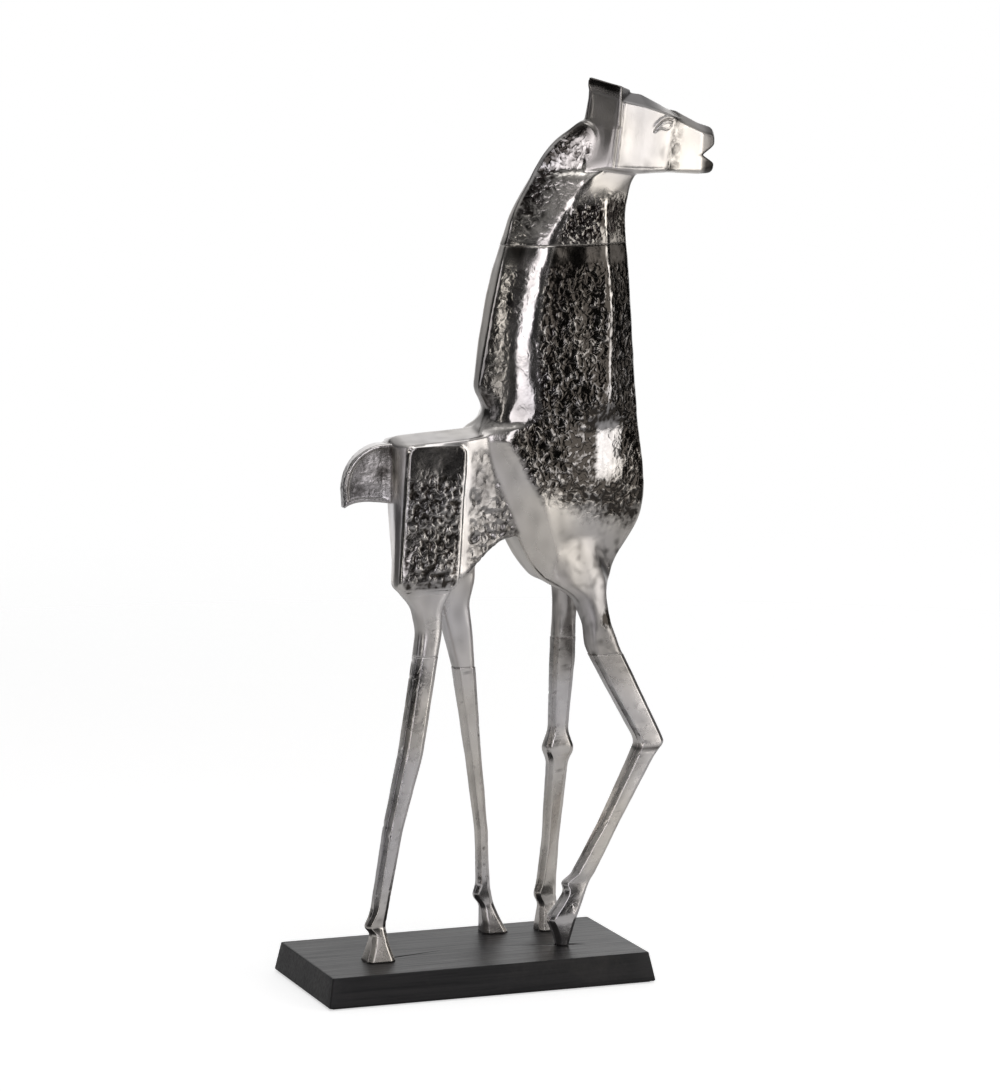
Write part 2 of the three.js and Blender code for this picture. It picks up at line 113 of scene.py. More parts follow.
def bend(at, knots, values, reach=12.0):
    """The line through (knot, value) pairs: the first value, plus the first slope times the distance,
    plus each change of slope times a ramp at its knot. A ramp reaches at most 0.48 of the way to the next."""
    knots, values = np.asarray(knots, float), np.asarray(values, float)
    runs = np.diff(knots)
    slopes = np.diff(values) / runs
    line = values[0] + 0.0 * at
    for index, change in enumerate(np.diff(slopes)):
        size = min(reach, 0.48 * runs[index], 0.48 * runs[index + 1])
        line = line + change * ramp(at - knots[index + 1], size)
    return line + slopes[0] * np.maximum(at - knots[0], 0.0) - slopes[-1] * np.maximum(at - knots[-1], 0.0)


def step(u, start, end):
    """0 before start, 1 after end, with the smooth cubic 3t^2 - 2t^3 between."""
    t = np.clip((u - start) / (end - start), 0.0, 1.0)
    return t * t * (3.0 - 2.0 * t)


print("rounded corner of a 0-10-0 line at its middle:", bend(np.array([10.0]), [0, 10, 20], [0, 10, 0]).round(2))

# %% [markdown]
# Solids as fields. A field is negative inside the metal and positive outside. The larger of two fields is
# where both solids are, the smaller joins them, and a soft larger or smaller rounds the edge or fills the
# corner between them, as grinding and welding do.


# %% Soft joins of fields
def both(a, b, soft=1.0):
    """Soft maximum: max(a, b), raised by up to soft / 4 where the two are equal. It rounds an outer edge."""
    h = np.clip(0.5 + 0.5 * (a - b) / soft, 0.0, 1.0)
    return b + (a - b) * h + soft * h * (1.0 - h)


def either(a, b, soft=1.0):
    """Soft minimum, the mirror of both(). It fills an inner corner."""
    return -both(-a, -b, soft)


def facet(u, v, start, end):
    """Distance outside the line from start to end, points (u, v), with the metal on its right."""
    run_u, run_v = end[0] - start[0], end[1] - start[1]
    length = np.hypot(run_u, run_v) + 1e-9
    return ((v - start[1]) * run_u - (u - start[0]) * run_v) / length


print("edge of a quarter corner is eased by", both(0.0, 0.0, 4.0), "mm")

# %% [markdown]
# Rough metal. Sand leaves a skin of small worms and dimples three or four millimetres apart. It is made
# with gradient noise: every point of a lattice gets a random direction from a fixed formula, so each run
# gives the same skin.


# %% Noise on whole arrays
def lattice(i, j, k, salt):
    """A fixed pseudo-random number from -1 to 1 for each lattice point, mixed from its three indices."""
    n = (i * 73856093) ^ (j * 19349663) ^ (k * 83492791) ^ (salt * 50331653)
    n = n & 0xFFFFFFFF
    n = ((n ^ (n >> 16)) * 0x45D9F3B) & 0xFFFFFFFF
    n = ((n ^ (n >> 15)) * 0x2C1B3C6D) & 0xFFFFFFFF
    n = n ^ (n >> 16)
    return (n & 0xFFFFFF) / float(0x7FFFFF) - 1.0


def noise(points, size, salt=0):
    """Gradient noise about -1 to 1: at each of a cell's eight corners a random slope times the offset,
    blended with the curve t^3 (6t^2 - 15t + 10)."""
    q = np.asarray(points, float) / size
    base = np.floor(q).astype(np.int64)
    t = q - base
    ease = t * t * t * (t * (t * 6.0 - 15.0) + 10.0)
    total = np.zeros(len(q))
    for corner in range(8):
        o = np.array([corner & 1, corner >> 1 & 1, corner >> 2 & 1])
        cell = base + o
        slope = [lattice(cell[:, 0], cell[:, 1], cell[:, 2], salt * 3 + axis) for axis in range(3)]
        share = np.prod(np.where(o == 1, ease, 1.0 - ease), axis=1)
        total += share * sum(slope[axis] * (t[:, axis] - o[axis]) for axis in range(3))
    return total * 1.6


def warped(points, size, amount, salt):
    """The points moved by slow noise, so that a pattern on them curls instead of running straight."""
    shift = np.stack([noise(points, size, salt + axis) for axis in range(3)], axis=1)
    return points + shift * amount


sample = np.random.default_rng(1).uniform(-50, 50, (4000, 3))
print("noise runs from", noise(sample, 4.0).min().round(2), "to", noise(sample, 4.0).max().round(2))

# %% [markdown]
# From a field to a mesh. The castings flow into each other in ways that no single grid of two parameters
# can follow, so their surface is netted: the field is worked out on a lattice, each cell that the surface
# crosses gets one point, and each lattice edge that it crosses gets a quad. The points then slide along the
# field's slope until they lie on the surface.


# %% Net a field
EDGES = [(a, b) for a in range(8) for b in range(8) if a < b and (a ^ b) in (1, 2, 4)]


def net(field, low, high, size):
    """Surface net on a lattice: a cell's point is the mean of the crossings of its twelve edges."""
    axes = [np.arange(low[a], high[a] + size, size) for a in range(3)]
    f = field(axes[0][:, None, None], axes[1][None, :, None], axes[2][None, None, :])
    inside = f < 0.0
    corners = [inside[(c & 1):f.shape[0] - 1 + (c & 1), (c >> 1 & 1):f.shape[1] - 1 + (c >> 1 & 1),
                      (c >> 2 & 1):f.shape[2] - 1 + (c >> 2 & 1)] for c in range(8)]
    count = sum(c.astype(np.int8) for c in corners)
    cells = np.argwhere((count > 0) & (count < 8))
    offsets = np.array([[c & 1, c >> 1 & 1, c >> 2 & 1] for c in range(8)])
    around = cells[:, None, :] + offsets[None]
    value = f[around[..., 0], around[..., 1], around[..., 2]]
    total, hits = np.zeros((len(cells), 3)), np.zeros(len(cells))
    for a, b in EDGES:
        crossed = (value[:, a] < 0.0) != (value[:, b] < 0.0)
        share = np.where(crossed, value[:, a] / np.where(crossed, value[:, a] - value[:, b], 1.0), 0.0)
        place = offsets[a] + share[:, None] * (offsets[b] - offsets[a])
        total += np.where(crossed[:, None], place, 0.0)
        hits += crossed
    points = np.array([a[0] for a in axes]) + (cells + total / hits[:, None]) * size
    number = np.full([n - 1 for n in f.shape], -1, np.int64)
    number[cells[:, 0], cells[:, 1], cells[:, 2]] = np.arange(len(cells))
    quads = []
    for axis in range(3):
        ahead = np.swapaxes(inside, 0, axis)
        ids = np.swapaxes(number, 0, axis)
        change = np.argwhere(ahead[:-1, 1:-1, 1:-1] != ahead[1:, 1:-1, 1:-1])
        i, j, k = change[:, 0], change[:, 1], change[:, 2]
        quad = np.stack([ids[i, j, k], ids[i, j + 1, k], ids[i, j + 1, k + 1], ids[i, j, k + 1]], axis=1)
        turn = ahead[i, j + 1, k + 1] ^ (axis > 0)
        quads.append(np.where(turn[:, None], quad, quad[:, ::-1]))
    return points, np.concatenate(quads)


def slope_of(field, p, d=0.05):
    """The field's slope at each point, from its values a small step to both sides along each axis."""
    parts = []
    for axis in range(3):
        o = np.zeros(3)
        o[axis] = d
        ahead, behind = p + o, p - o
        parts.append((field(ahead[:, 0], ahead[:, 1], ahead[:, 2]) -
                      field(behind[:, 0], behind[:, 1], behind[:, 2])) / (2 * d))
    return np.stack(parts, axis=1)


def settle(field, p, reach, rounds=3):
    """Newton steps: each point moves by value / slope against the slope, at most reach."""
    for _ in range(rounds):
        g = slope_of(field, p)
        move = field(p[:, 0], p[:, 1], p[:, 2])[:, None] * g / ((g ** 2).sum(1)[:, None] + 1e-9)
        far = np.linalg.norm(move, axis=1)[:, None]
        p = p - move * np.minimum(1.0, reach / (far + 1e-9))
    return p


def relax(p, quads, share=0.5):
    """Each point moves part of the way to the mean of its neighbours, which evens out the quads."""
    total, hits = np.zeros_like(p), np.zeros(len(p))
    for a in range(4):
        for b in ((a + 1) % 4, (a + 3) % 4):
            np.add.at(total, quads[:, a], p[quads[:, b]])
            np.add.at(hits, quads[:, a], 1.0)
    return p + share * (total / hits[:, None] - p)


def skin(field, low, high, size):
    """The netted surface of a field, evened and settled, with its outward directions."""
    points, quads = net(field, low, high, size)
    points = settle(field, relax(settle(field, points, size, 2), quads), size, 3)
    g = slope_of(field, points)
    return points, quads, g / (np.linalg.norm(g, axis=1)[:, None] + 1e-9)


ball = lambda x, y, z: np.sqrt(x * x + y * y + z * z) - 10.0
ball_points, ball_quads, ball_out = skin(ball, (-12, -12, -12), (12, 12, 12), 1.5)
print("a test ball:", len(ball_quads), "quads, radius", np.linalg.norm(ball_points, axis=1).mean().round(3))

# %% [markdown]
# Pieces. A piece is a mesh with its place in its points, its faces pointing outwards, and a few numbers per
# point that the metal's material reads: how rough the sand left it, how much it was ground or rubbed, and
# how dark it is, from patina deep in that roughness and from painted shade in some places.


# %% Make a piece
pieces = {}


def signed_volume(points, faces):
    """Sum of the tetrahedra from the origin to each face, positive when the faces point outwards."""
    a = points[faces[:, 0]]
    total = 0.0
    for k in range(1, faces.shape[1] - 1):
        total += np.einsum("ij,ij->i", a, np.cross(points[faces[:, k]], points[faces[:, k + 1]])).sum() / 6.0
    return total


def piece(name, points, faces, nodes, slot, marks=None, metres=False):
    """A mesh object from points in horse millimetres and quads, riding on the root and standing for nodes."""
    faces = np.asarray(faces)
    if signed_volume(np.asarray(points), faces) < 0:
        faces = faces[:, ::-1]
    mesh = bpy.data.meshes.new(name)
    placed = np.asarray(points) if metres else to_metres(points)
    mesh.from_pydata(placed.tolist(), [], faces.tolist())
    mesh.polygons.foreach_set("use_smooth", np.ones(len(mesh.polygons), bool))
    for mark, values in (marks or {}).items():
        layer = mesh.attributes.new(mark, "FLOAT", "POINT")
        layer.data.foreach_set("value", np.asarray(values, np.float32))
    mesh.validate()
    mesh.update()
    obj = bpy.data.objects.new(name, mesh)
    bpy.context.scene.collection.objects.link(obj)
    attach(obj, "root")
    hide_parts(*nodes)
    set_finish(obj, slot)
    pieces[name] = obj
    triangles = sum(len(p.vertices) - 2 for p in mesh.polygons)
    print(f"{name}: {len(mesh.vertices)} points, {triangles} triangles")
    return obj


# %% [markdown]
# Neck and chest. On the real horse they are one tall hollow casting with flat ground panels: a narrow strip
# behind, the mane panel, the broad side, the front bevel and a narrow strip in front. Each level is a
# polygon, given by four corners on one side, and the corners follow rounded lines up the neck.

# %% Neck and chest field
# Each row: height above the legs, then x and half width of the rear, mane ridge, front bevel and front.
COLUMN = np.array([
    [61, 70, 20, 75, 30, 108, 30, 136, 18], [78, 58, 22, 75, 32, 111, 32, 142, 15],
    [95, 49, 23, 72, 34, 116, 33, 155, 13], [113, 42, 24, 66, 35, 121, 34, 166, 12],
    [135, 33, 25, 58, 35, 125, 34, 170, 12], [165, 21, 26, 43, 35, 127, 34, 168, 12],
    [190, 11, 25, 30, 34, 127, 34, 165, 11], [197, 10, 22, 34, 34, 127, 34, 164, 11],
    [204, 17, 10, 54, 33, 127, 34, 163, 11], [212, 22, 8, 57, 33, 127, 33, 163, 11],
    [220, 20, 8, 58, 33, 127, 33, 162, 11], [232, 14, 8, 58, 32, 128, 32, 161, 11],
    [268, 19, 11, 56, 31, 129, 31, 159, 10], [306, 26, 12, 60, 29, 130, 30, 157, 10],
    [335, 33, 11, 67, 28, 128, 28, 155, 9], [358, 40, 8, 74, 26, 127, 26, 153, 9],
    [382, 47, 6, 88, 22.5, 126, 24.5, 152, 8], [399, 56, 5, 99, 20, 128, 22, 155, 8],
    [408, 61.5, 4.5, 107, 19.4, 130, 20.8, 158, 8], [414.5, 65.5, 4, 115, 19.2, 132, 19.5, 162, 8],
    [420, 68, 4, 129, 19.5, 137, 19.0, 166, 8], [434, 77, 4, 133, 18.6, 140, 17.6, 164, 8],
    [446, 88, 4, 136, 16.8, 142, 16.0, 160, 8], [455, 102, 4, 137, 15.0, 142.5, 14.5, 158, 8],
    [463, 112, 4, 138, 13.0, 143, 12.8, 156, 8],
], float)
# Each row: height above the legs and width of the polished band behind the mane ridge.
BAND = np.array([[196, 6], [206, 30], [233, 24], [285, 21], [319, 20], [356, 18], [392, 22], [408, 26],
                 [417, 34], [434, 37], [446, 36], [463, 27]], float)
BAND_TURN = math.radians(12.0)


def column_corners(z):
    """The four corners (x, half width) of the level outline at height z."""
    up = z - LEG_TOP
    rows = [bend(up, COLUMN[:, 0], COLUMN[:, k]) for k in range(1, 9)]
    return [(rows[2 * k], rows[2 * k + 1]) for k in range(4)]


def column_facets(x, y, z):
    """Distances outside the rear strip, mane panel, polished band, side, front bevel and front strip."""
    rear, ridge, bevel, front = column_corners(z)
    side, wide = np.abs(y), bend(z - LEG_TOP, BAND[:, 0], BAND[:, 1])
    hinge = (ridge[0] - wide * math.cos(BAND_TURN), ridge[1] - wide * math.sin(BAND_TURN))
    return [rear[0] - x + 0.0 * side, facet(x, side, rear, hinge), facet(x, side, hinge, ridge),
            facet(x, side, ridge, bevel), facet(x, side, bevel, front), x - front[0] + 0.0 * side]


def column(x, y, z):
    """All six facets at once, with the edges eased, between the lowest and the highest level. The bevel's
    edge is rounder at the height of the shoulder, where it was rubbed bright."""
    rear, mane, band, side, bevel, front = column_facets(x, y, z)
    d = both(rear, mane, 3.0)
    d = both(d, band, 9.0)
    d = both(d, side, 1.2)
    up = z - LEG_TOP
    low, top = 1.0 - step(up, 190.0, 226.0), step(up, 392.0, 408.0)
    d = both(d, bevel, 3.2 + 26.0 * low + 16.0 * (1.0 - step(up, 90.0, 150.0)) + 9.0 * top)
    d = both(d, front, 5.0)
    d = both(d, LEG_TOP + COLUMN[0, 0] - z, 6.0)
    return both(d, z - (LEG_TOP + COLUMN[-1, 0]), 4.0)


print("neck width at the weld:", round(float(2 * column_corners(np.array(NECK_WELD))[1][1]), 1), "mm")

# %% [markdown]
# Barrel and rump. They are a slanted box: the lower edge runs back on the right and forward on the left,
# because the hips swing as the horse walks. A straightened x makes the slanted sections upright, and the
# sizes follow rounded lines along it. The rump carries a flat plate, a little proud, with ground edges.

# %% Barrel field
# Each row: x of the section at the top, at the low right, at the low left, half widths at the top and low,
# height of the top edge, rise of the middle ridge, height of the low edge.
BARREL = np.array([
    [-66, -69, -54, 14, 22, 187, 4, 65], [-59, -68, -38, 33, 33, 188, 6, 65],
    [-3, -11, 18, 33, 33, 192, 6, 67], [20, 27, 34, 26, 25, 194, 5, 99],
    [62, 62, 62, 24, 24, 194, 4, 108],
], float)
BARREL_HIGH, BARREL_LOW = 190.0, 66.0


def straightened(x, y, z):
    """x measured along the top of the barrel, once each slanted section is stood upright."""
    down = np.clip((LEG_TOP + BARREL_HIGH - z) / (BARREL_HIGH - BARREL_LOW), 0.0, 1.15)
    left = np.clip(0.5 + y / 44.0, 0.0, 1.0)
    places = [row[0] + (row[1] + (row[2] - row[1]) * left - row[0]) * down for row in BARREL]
    tops = BARREL[:, 0]
    along = tops[0] + np.minimum(x - places[0], 0.0)
    for k in range(len(BARREL) - 1):
        share = np.clip((x - places[k]) / (places[k + 1] - places[k]), 0.0, 1.0)
        along = along + share * (tops[k + 1] - tops[k])
    return along + np.maximum(x - places[-1], 0.0), down


RUMP_PLATE = {"rear": -57.5, "front": -4.5, "low": 61.0, "high": 188.0, "corner": 8.5, "proud": 0.9}


def rounded_frame(u, v, low_u, high_u, low_v, high_v, corner):
    """Distance outside a rectangle with round corners: the length of what sticks out, less the radius."""
    qu = np.abs(u - (low_u + high_u) / 2) - (high_u - low_u) / 2 + corner
    qv = np.abs(v - (low_v + high_v) / 2) - (high_v - low_v) / 2 + corner
    return np.hypot(np.maximum(qu, 0), np.maximum(qv, 0)) + np.minimum(np.maximum(qu, qv), 0) - corner


def rump_plate(along, z):
    """Distance outside the plate's outline on the side of the rump."""
    p = RUMP_PLATE
    return rounded_frame(along, z - LEG_TOP, p["rear"], p["front"], p["low"], p["high"], p["corner"])


def barrel(x, y, z):
    """Side, rear, top and belly of the slanted box, with eased edges."""
    along, down = straightened(x, y, z)
    knots = BARREL[:, 0]
    half_top, half_low = bend(along, knots, BARREL[:, 3], 3.0), bend(along, knots, BARREL[:, 4], 3.0)
    edge, crown = bend(along, knots, BARREL[:, 5], 6.0), bend(along, knots, BARREL[:, 6], 6.0)
    low = bend(along, knots, BARREL[:, 7], 8.0)
    side = np.abs(y)
    half = half_top + (half_low - half_top) * down
    half = half + RUMP_PLATE["proud"] * (1.0 - step(rump_plate(along, z), -1.2, 0.2))
    up = z - LEG_TOP
    d = both(side - half, knots[0] - along, 4.0)
    d = both(d, up - edge - crown * (1.0 - side / half_top), 3.0)
    d = both(d, low - up, 6.0)
    return both(d, along - knots[-1], 4.0)


print("rump plate", RUMP_PLATE["front"] - RUMP_PLATE["rear"], "mm long on a", 2 * BARREL[1, 3], "mm wide rump")

# %% [markdown]
# Legs. A leg is a bar with ground corner facets, wider at the knee and the fetlock and spread at the hoof.
# Its sections are level outlines, which suits both a field, where the thighs melt into the body, and a
# plain grid of rings for the free leg below its weld.


# %% Leg sections
def share_of(low, high, part):
    """The height a part of the way from low to high."""
    return low + (high - low) * part


# Each row: height above the plinth, rear x, front x, y of the middle, thickness.
LEGS = {
    "hind_right": np.array([
        [LEG_TOP + 100, -60, -18, -17, 28], [LEG_TOP + 64, -66, -14, -18, 29],
        [LEG_TOP + 46, -51, -24, -19, 26], [LEG_TOP + 24, -47, -25, -20, 22],
        [LEG_TOP, -50, -30, -21, 21], [share_of(FETLOCK, LEG_TOP, 0.62), -65, -45, -26, 20],
        [share_of(FETLOCK, LEG_TOP, 0.3), -81, -65, -29, 18], [FETLOCK - 5, -93, -79, -31, 16],
        [FETLOCK - 18, -100, -81, -32, 12], [FETLOCK - 24, -94, -80, -32, 15],
        [13, -96, -78, -32, 20], [0.3, -100, -74, -32, 25],
    ], float),
    "hind_left": np.array([
        [LEG_TOP + 100, -32, 18, 17, 28], [LEG_TOP + 64, -34, 18, 18, 29],
        [LEG_TOP + 42, -16, 14, 19, 24], [LEG_TOP + 12, -7, 18, 20, 19],
        [LEG_TOP - 16, 1, 21, 22, 17], [share_of(FETLOCK, LEG_TOP, 0.55), 15, 29, 28, 15],
        [share_of(FETLOCK, LEG_TOP, 0.22), 26, 37, 33, 13], [FETLOCK - 3, 28, 40, 36, 13],
        [FETLOCK - 14, 24, 42, 36, 11], [FETLOCK - 22, 31, 44, 37, 13],
        [13, 32, 49, 37, 19], [0.3, 33, 56, 38, 23],
    ], float),
    "front_left": np.array([
        [LEG_TOP + 90, 88, 122, 16, 26], [LEG_TOP + 55, 92, 120, 18, 23],
        [LEG_TOP + 20, 94, 115, 20, 19], [LEG_TOP - 15, 93, 114, 21, 18],
        [KNEE + 5, 92, 109, 24, 16], [KNEE - 12, 87, 115, 25, 20], [KNEE - 22, 91, 110, 25, 16],
        [share_of(FETLOCK, KNEE, 0.25), 88, 103, 29, 14], [FETLOCK - 2, 84, 101, 30, 14],
        [FETLOCK - 16, 80, 101, 30, 12], [FETLOCK - 24, 85, 102, 31, 14],
        [12, 84, 104, 31, 19], [0.3, 83, 107, 31, 23],
    ], float),
    "front_right": np.array([
        [LEG_TOP + 90, 84, 118, -12, 20], [LEG_TOP + 60, 80, 130, -16, 24],
        [LEG_TOP + 46, 97, 130, -18, 24], [LEG_TOP + 22, 108, 133, -20, 22],
        [LEG_TOP + 2, 110, 140, -21, 20], [share_of(KNEE, LEG_TOP, 0.5), 133, 161, -23, 19],
        [KNEE + 4, 154, 179, -24, 20], [KNEE - 2, 156, 181, -24, 21], [KNEE - 14, 150, 171, -25, 19],
        [share_of(FETLOCK, KNEE, 0.45), 120, 138, -28, 16], [FETLOCK + 14, 93, 114, -30, 14],
        [FETLOCK + 8, 83, 110, -30, 12], [FETLOCK, 86, 106, -31, 14],
        [FETLOCK - 10, 80, 102, -31, 16], [25, 69, 96, -32, 18],
        [11, 75, 92, -32, 16], [0.3, 78, 89, -32, 13],
    ], float),
}
LEG_WELD = {"hind_right": LEG_TOP + 3, "hind_left": LEG_TOP - 16, "front_left": LEG_TOP + 6, "front_right": LEG_TOP - 4}


def leg_sizes(name, z):
    """Rear, front, middle and thickness of a leg at height z."""
    rows = LEGS[name][::-1]
    return [bend(z, rows[:, 0], rows[:, k], 5.0) for k in range(1, 5)]


def leg_field(name, x, y, z):
    """A level rectangle with cut corners: the larger of the two side distances and the corner cut."""
    rear, front, middle, thick = leg_sizes(name, z)
    across = np.abs(y - middle) - thick / 2
    along = np.abs(x - (rear + front) / 2) - (front - rear) / 2
    cut = np.minimum(CHAMFER, np.minimum(thick, front - rear) * CHAMFER_SHARE)
    ease = 1.6 + (7.0 if name.startswith("front") else 2.0) * step(z - LEG_TOP, 8.0, 44.0)
    return both(both(across, along, 1.0), (across + along + cut) / math.sqrt(2.0), ease)


print({name: (len(rows), "sections") for name, rows in LEGS.items()})

# %% [markdown]
# The body casting. The column, the barrel and the four thigh stubs are joined with soft corners: tight on
# the back, wide where the chest runs into the front legs. It ends level at the neck weld and at each leg
# weld, where a bead covers the joint.

# %% Body casting field
THIGH_BLEND = {"hind_right": 8.0, "hind_left": 8.0, "front_left": 12.0, "front_right": 14.0}


def plate_pad(x, y, z):
    """The rump plate as a solid of its own, because it reaches a little below the barrel, over the thigh."""
    outline = rump_plate(straightened(x, y, z)[0], z)
    return both(both(outline, np.abs(y) - BARREL[1, 3] - RUMP_PLATE["proud"], 1.2), 18.0 - np.abs(y), 0.5)


def body_field(x, y, z):
    """Column, barrel and thighs joined, and cut level at the welds."""
    d = either(column(x, y, z), barrel(x, y, z), 3.0)
    for name, blend in THIGH_BLEND.items():
        thigh = both(leg_field(name, x, y, z), LEG_WELD[name] - z, 0.6)
        d = either(d, both(thigh, z - LEGS[name][0, 0], 16.0), blend)
    d = either(d, plate_pad(x, y, z), 0.5)
    return both(d, z - NECK_WELD, 0.4)


body_points, body_quads, body_out = skin(body_field, (-74, -42, LEG_TOP - 22), (176, 42, NECK_WELD + 4), 1.65)
print("body casting:", len(body_quads), "quads")

# %% [markdown]
# The sand's skin on the body. Rough panels keep wrinkles and pits, ground places are bare. The masks come
# from the same facets that shape the metal: a point is rough where its own facet is well clear of the next,
# so the grinder's edge stays clean, and the height of the skin is kept as a mark for the finish.


# %% Wrinkled skin
def sand_skin(p, size=4.6):
    """Height of the wrinkles: soft dimples, less narrow grooves where a curled noise crosses zero."""
    q = warped(p, size * 2.1, size * 0.55, 11)
    grooves = np.exp(-(noise(q, size, 21) / 0.17) ** 2)
    return 0.55 * noise(p, size * 1.05, 31) + 0.35 * noise(q, size * 0.6, 41) - 0.62 * grooves + 0.12


def casting_waves(p):
    """Slow unevenness of a hand-finished panel."""
    return 0.34 * noise(p, 34.0, 51) + 0.14 * noise(p, 15.0, 61)


def patina(p):
    """Patches where the plating has dulled, stretched upwards, from 0 to about a quarter."""
    return 0.26 * np.clip(noise(p * [1.0, 1.0, 0.5], 11.0, 77) + 0.15, 0.0, 1.0)


def painted_breast_shade(p):
    """Painted shade low on the breast and at the top of the front legs, stronger towards the front, in noisy patches.
    """
    front = step(p[:, 0], 56.0, 120.0) * step(LEG_TOP + 128.0 - p[:, 2], 0.0, 40.0)
    return front * (0.38 + 0.5 * np.clip(noise(p, 7.0, 78), 0.0, 1.0))


def on_surface(value, soft=1.4):
    """1 where a field is near zero, so where that solid is the one that shows."""
    return 1.0 - step(np.abs(value), 0.25 * soft, soft)


def near_edge(facets, a, b, start=0.4, end=2.3):
    """1 along the edge where facets a and b meet, 0 away from it."""
    return 1.0 - step(facets.max(axis=0) - np.minimum(facets[a], facets[b]), start, end)


def column_marks(p, mane, band, side, bevel):
    """Roughness shared out by facet, bare along the ground edges, and the mark of those edges."""
    facets = np.stack(column_facets(p[:, 0], p[:, 1], p[:, 2]))
    share = np.exp((facets - facets.max(axis=0)) / 0.8)
    share = share / share.sum(axis=0)
    rough = share[1] * mane + share[2] * band + share[3] * side + share[4] * bevel
    up = p[:, 2] - LEG_TOP
    broken = np.clip(0.95 + 0.7 * noise(p, 6.0, 79), 0.0, 1.0) * step(up, 196.0, 214.0) * step(404.0 - up, 0.0, 14.0)
    ground = np.maximum(near_edge(facets, 0, 1), near_edge(facets, 3, 4, 0.15, 1.0) * broken)
    ground = np.maximum(ground, near_edge(facets, 4, 5))
    ridge = near_edge(facets, 2, 3, 0.3, 1.6)
    rubbed = np.maximum(np.maximum(ground, ridge), share[2] * (1.0 - band))
    return rough * (1.0 - ground) * (1.0 - 0.85 * ridge), rubbed


def body_marks(p):
    """Marks of the body from 0 to 1: roughness, edges, pits, the wrinkles' relief, and darkening: patina and painted
    shade.
    """
    x, y, z = p[:, 0], p[:, 1], p[:, 2]
    up = z - LEG_TOP
    wander = 5.0 * noise(p, 17.0, 71)
    speckle = noise(p, 4.0, 80)
    chest = step(up + wander + 7.0 * speckle + 0.345 * (x - 59.0), 128.0, 156.0)
    streak = step(x + 0.3 * wander + 2.0 * speckle, 114.0, 119.0) * step(145.0 - x + 0.3 * wander + 2.0 * speckle, 0.0, 5.0)
    streak = streak * step(up + wander + 3.0 * speckle, 146.0, 160.0) * step(208.0 - up + wander + 3.0 * speckle, 0.0, 12.0)
    mane = step(up, 197.0, 203.0) * (0.72 + 0.28 * noise(p, 22.0, 73)) * (0.62 + 0.38 * step(up, 240.0, 320.0))
    patchy = np.clip(0.06 + 0.42 * noise(p, 19.0, 74), 0.02, 1.0)
    upper = step(up + wander, 262.0, 345.0)
    panel = chest * (1.0 - 0.8 * streak)
    rough_column, rubbed = column_marks(p, mane, patchy * mane, panel, panel)
    along, down = straightened(x, y, z)
    plate = rump_plate(along, z)
    smooth_top = step(up + wander, 150.0, 172.0) * (1.0 - step(plate, -1.6, 0.0))
    rough_rump = 1.0 - step(plate, -3.4, -1.4)
    belly = step(along, -1.0, 3.0) * step(62.0 - along, 0.0, 14.0) * step(186.0 - up, 0.0, 8.0)
    pitted = belly * (0.34 + 0.66 * step(130.0 - up, -20.0, 16.0))
    flat_side = step(bend(along, BARREL[:, 0], BARREL[:, 4], 3.0) - np.abs(y), 4.0, 2.0)
    in_column = on_surface(column(x, y, z))
    solid = np.minimum(barrel(x, y, z), plate_pad(x, y, z))
    in_barrel = on_surface(solid, 3.5) * (1.0 - in_column)
    weld = step(up + 0.7 * wander + 1.5 * speckle, 336.0, 342.0)
    rump = rough_rump * (1.0 - 0.9 * smooth_top)
    rough = in_column * rough_column * (1.0 - 0.95 * weld)
    rough = rough + in_barrel * flat_side * np.maximum(0.7 * rump, 0.5 * pitted)
    relief = 0.8 * in_column * rough_column * (1.0 - 0.9 * weld) + in_barrel * flat_side * np.maximum(rump, pitted)
    edge = np.maximum(in_column * np.maximum(rubbed, streak), in_barrel * (1.0 - step(np.abs(plate), 0.5, 2.2)))
    side_share = in_column * column_marks(p, 0.0, 0.0, 1.0, 1.0)[0]
    # Calm is the smooth side high on the neck: polished, and later given a painted dark reflection in its colour.
    calm = np.maximum(in_column * np.maximum(rough_column, side_share) * weld, 0.75 * side_share * upper)
    edge = np.maximum(edge, np.maximum(calm, in_barrel * 0.9 * smooth_top))
    # Darkening: rough panels are darker, the weld is a dark joint, the calm side gets a painted dark reflection, and
    # the rump plate's smooth top gets painted shade.
    dark = in_column * rough_column * 0.22 + 0.72 * calm * weld + 0.26 * calm + in_barrel * 0.62 * smooth_top
    # Painted shade on the breast, stronger towards the front.
    dark = dark + (1.0 - in_column * chest) * painted_breast_shade(p)
    stub = (1.0 - in_column) * (1.0 - in_barrel) * step(66.0 - up, 0.0, 8.0)
    spot = np.exp(-((x - 127.0) / 6.0) ** 2 - ((up - 28.0) / 8.0) ** 2) * step(-y, 0.0, 4.0)
    rough = np.maximum(rough, np.maximum(0.16 * stub * step(noise(p, 24.0, 96), 0.1, 0.5), 0.8 * spot))
    relief = np.maximum(relief, 1.2 * spot)
    # Smooth metal on the neck is darker from 190 mm up, fading out by 300 mm.
    dark = dark + 0.32 * in_column * (1.0 - rough) * (1.0 - step(up, 204.0, 300.0)) * step(up, 190.0, 200.0) * (1.0 - streak)
    # Painted shade on the belly, patina patches on smooth metal, and darker streaks in the rubbed patch.
    dark = dark + in_barrel * 0.40 * belly * (1.0 - 0.6 * pitted) + (1.0 - rough) * patina(p) + 0.3 * streak * in_column * np.clip(noise(p * [1, 1, 0.12], 2.4, 75), 0, 1)
    return [np.clip(mark, 0.0, 1.0) for mark in (rough, edge, in_barrel * pitted, relief, dark)]


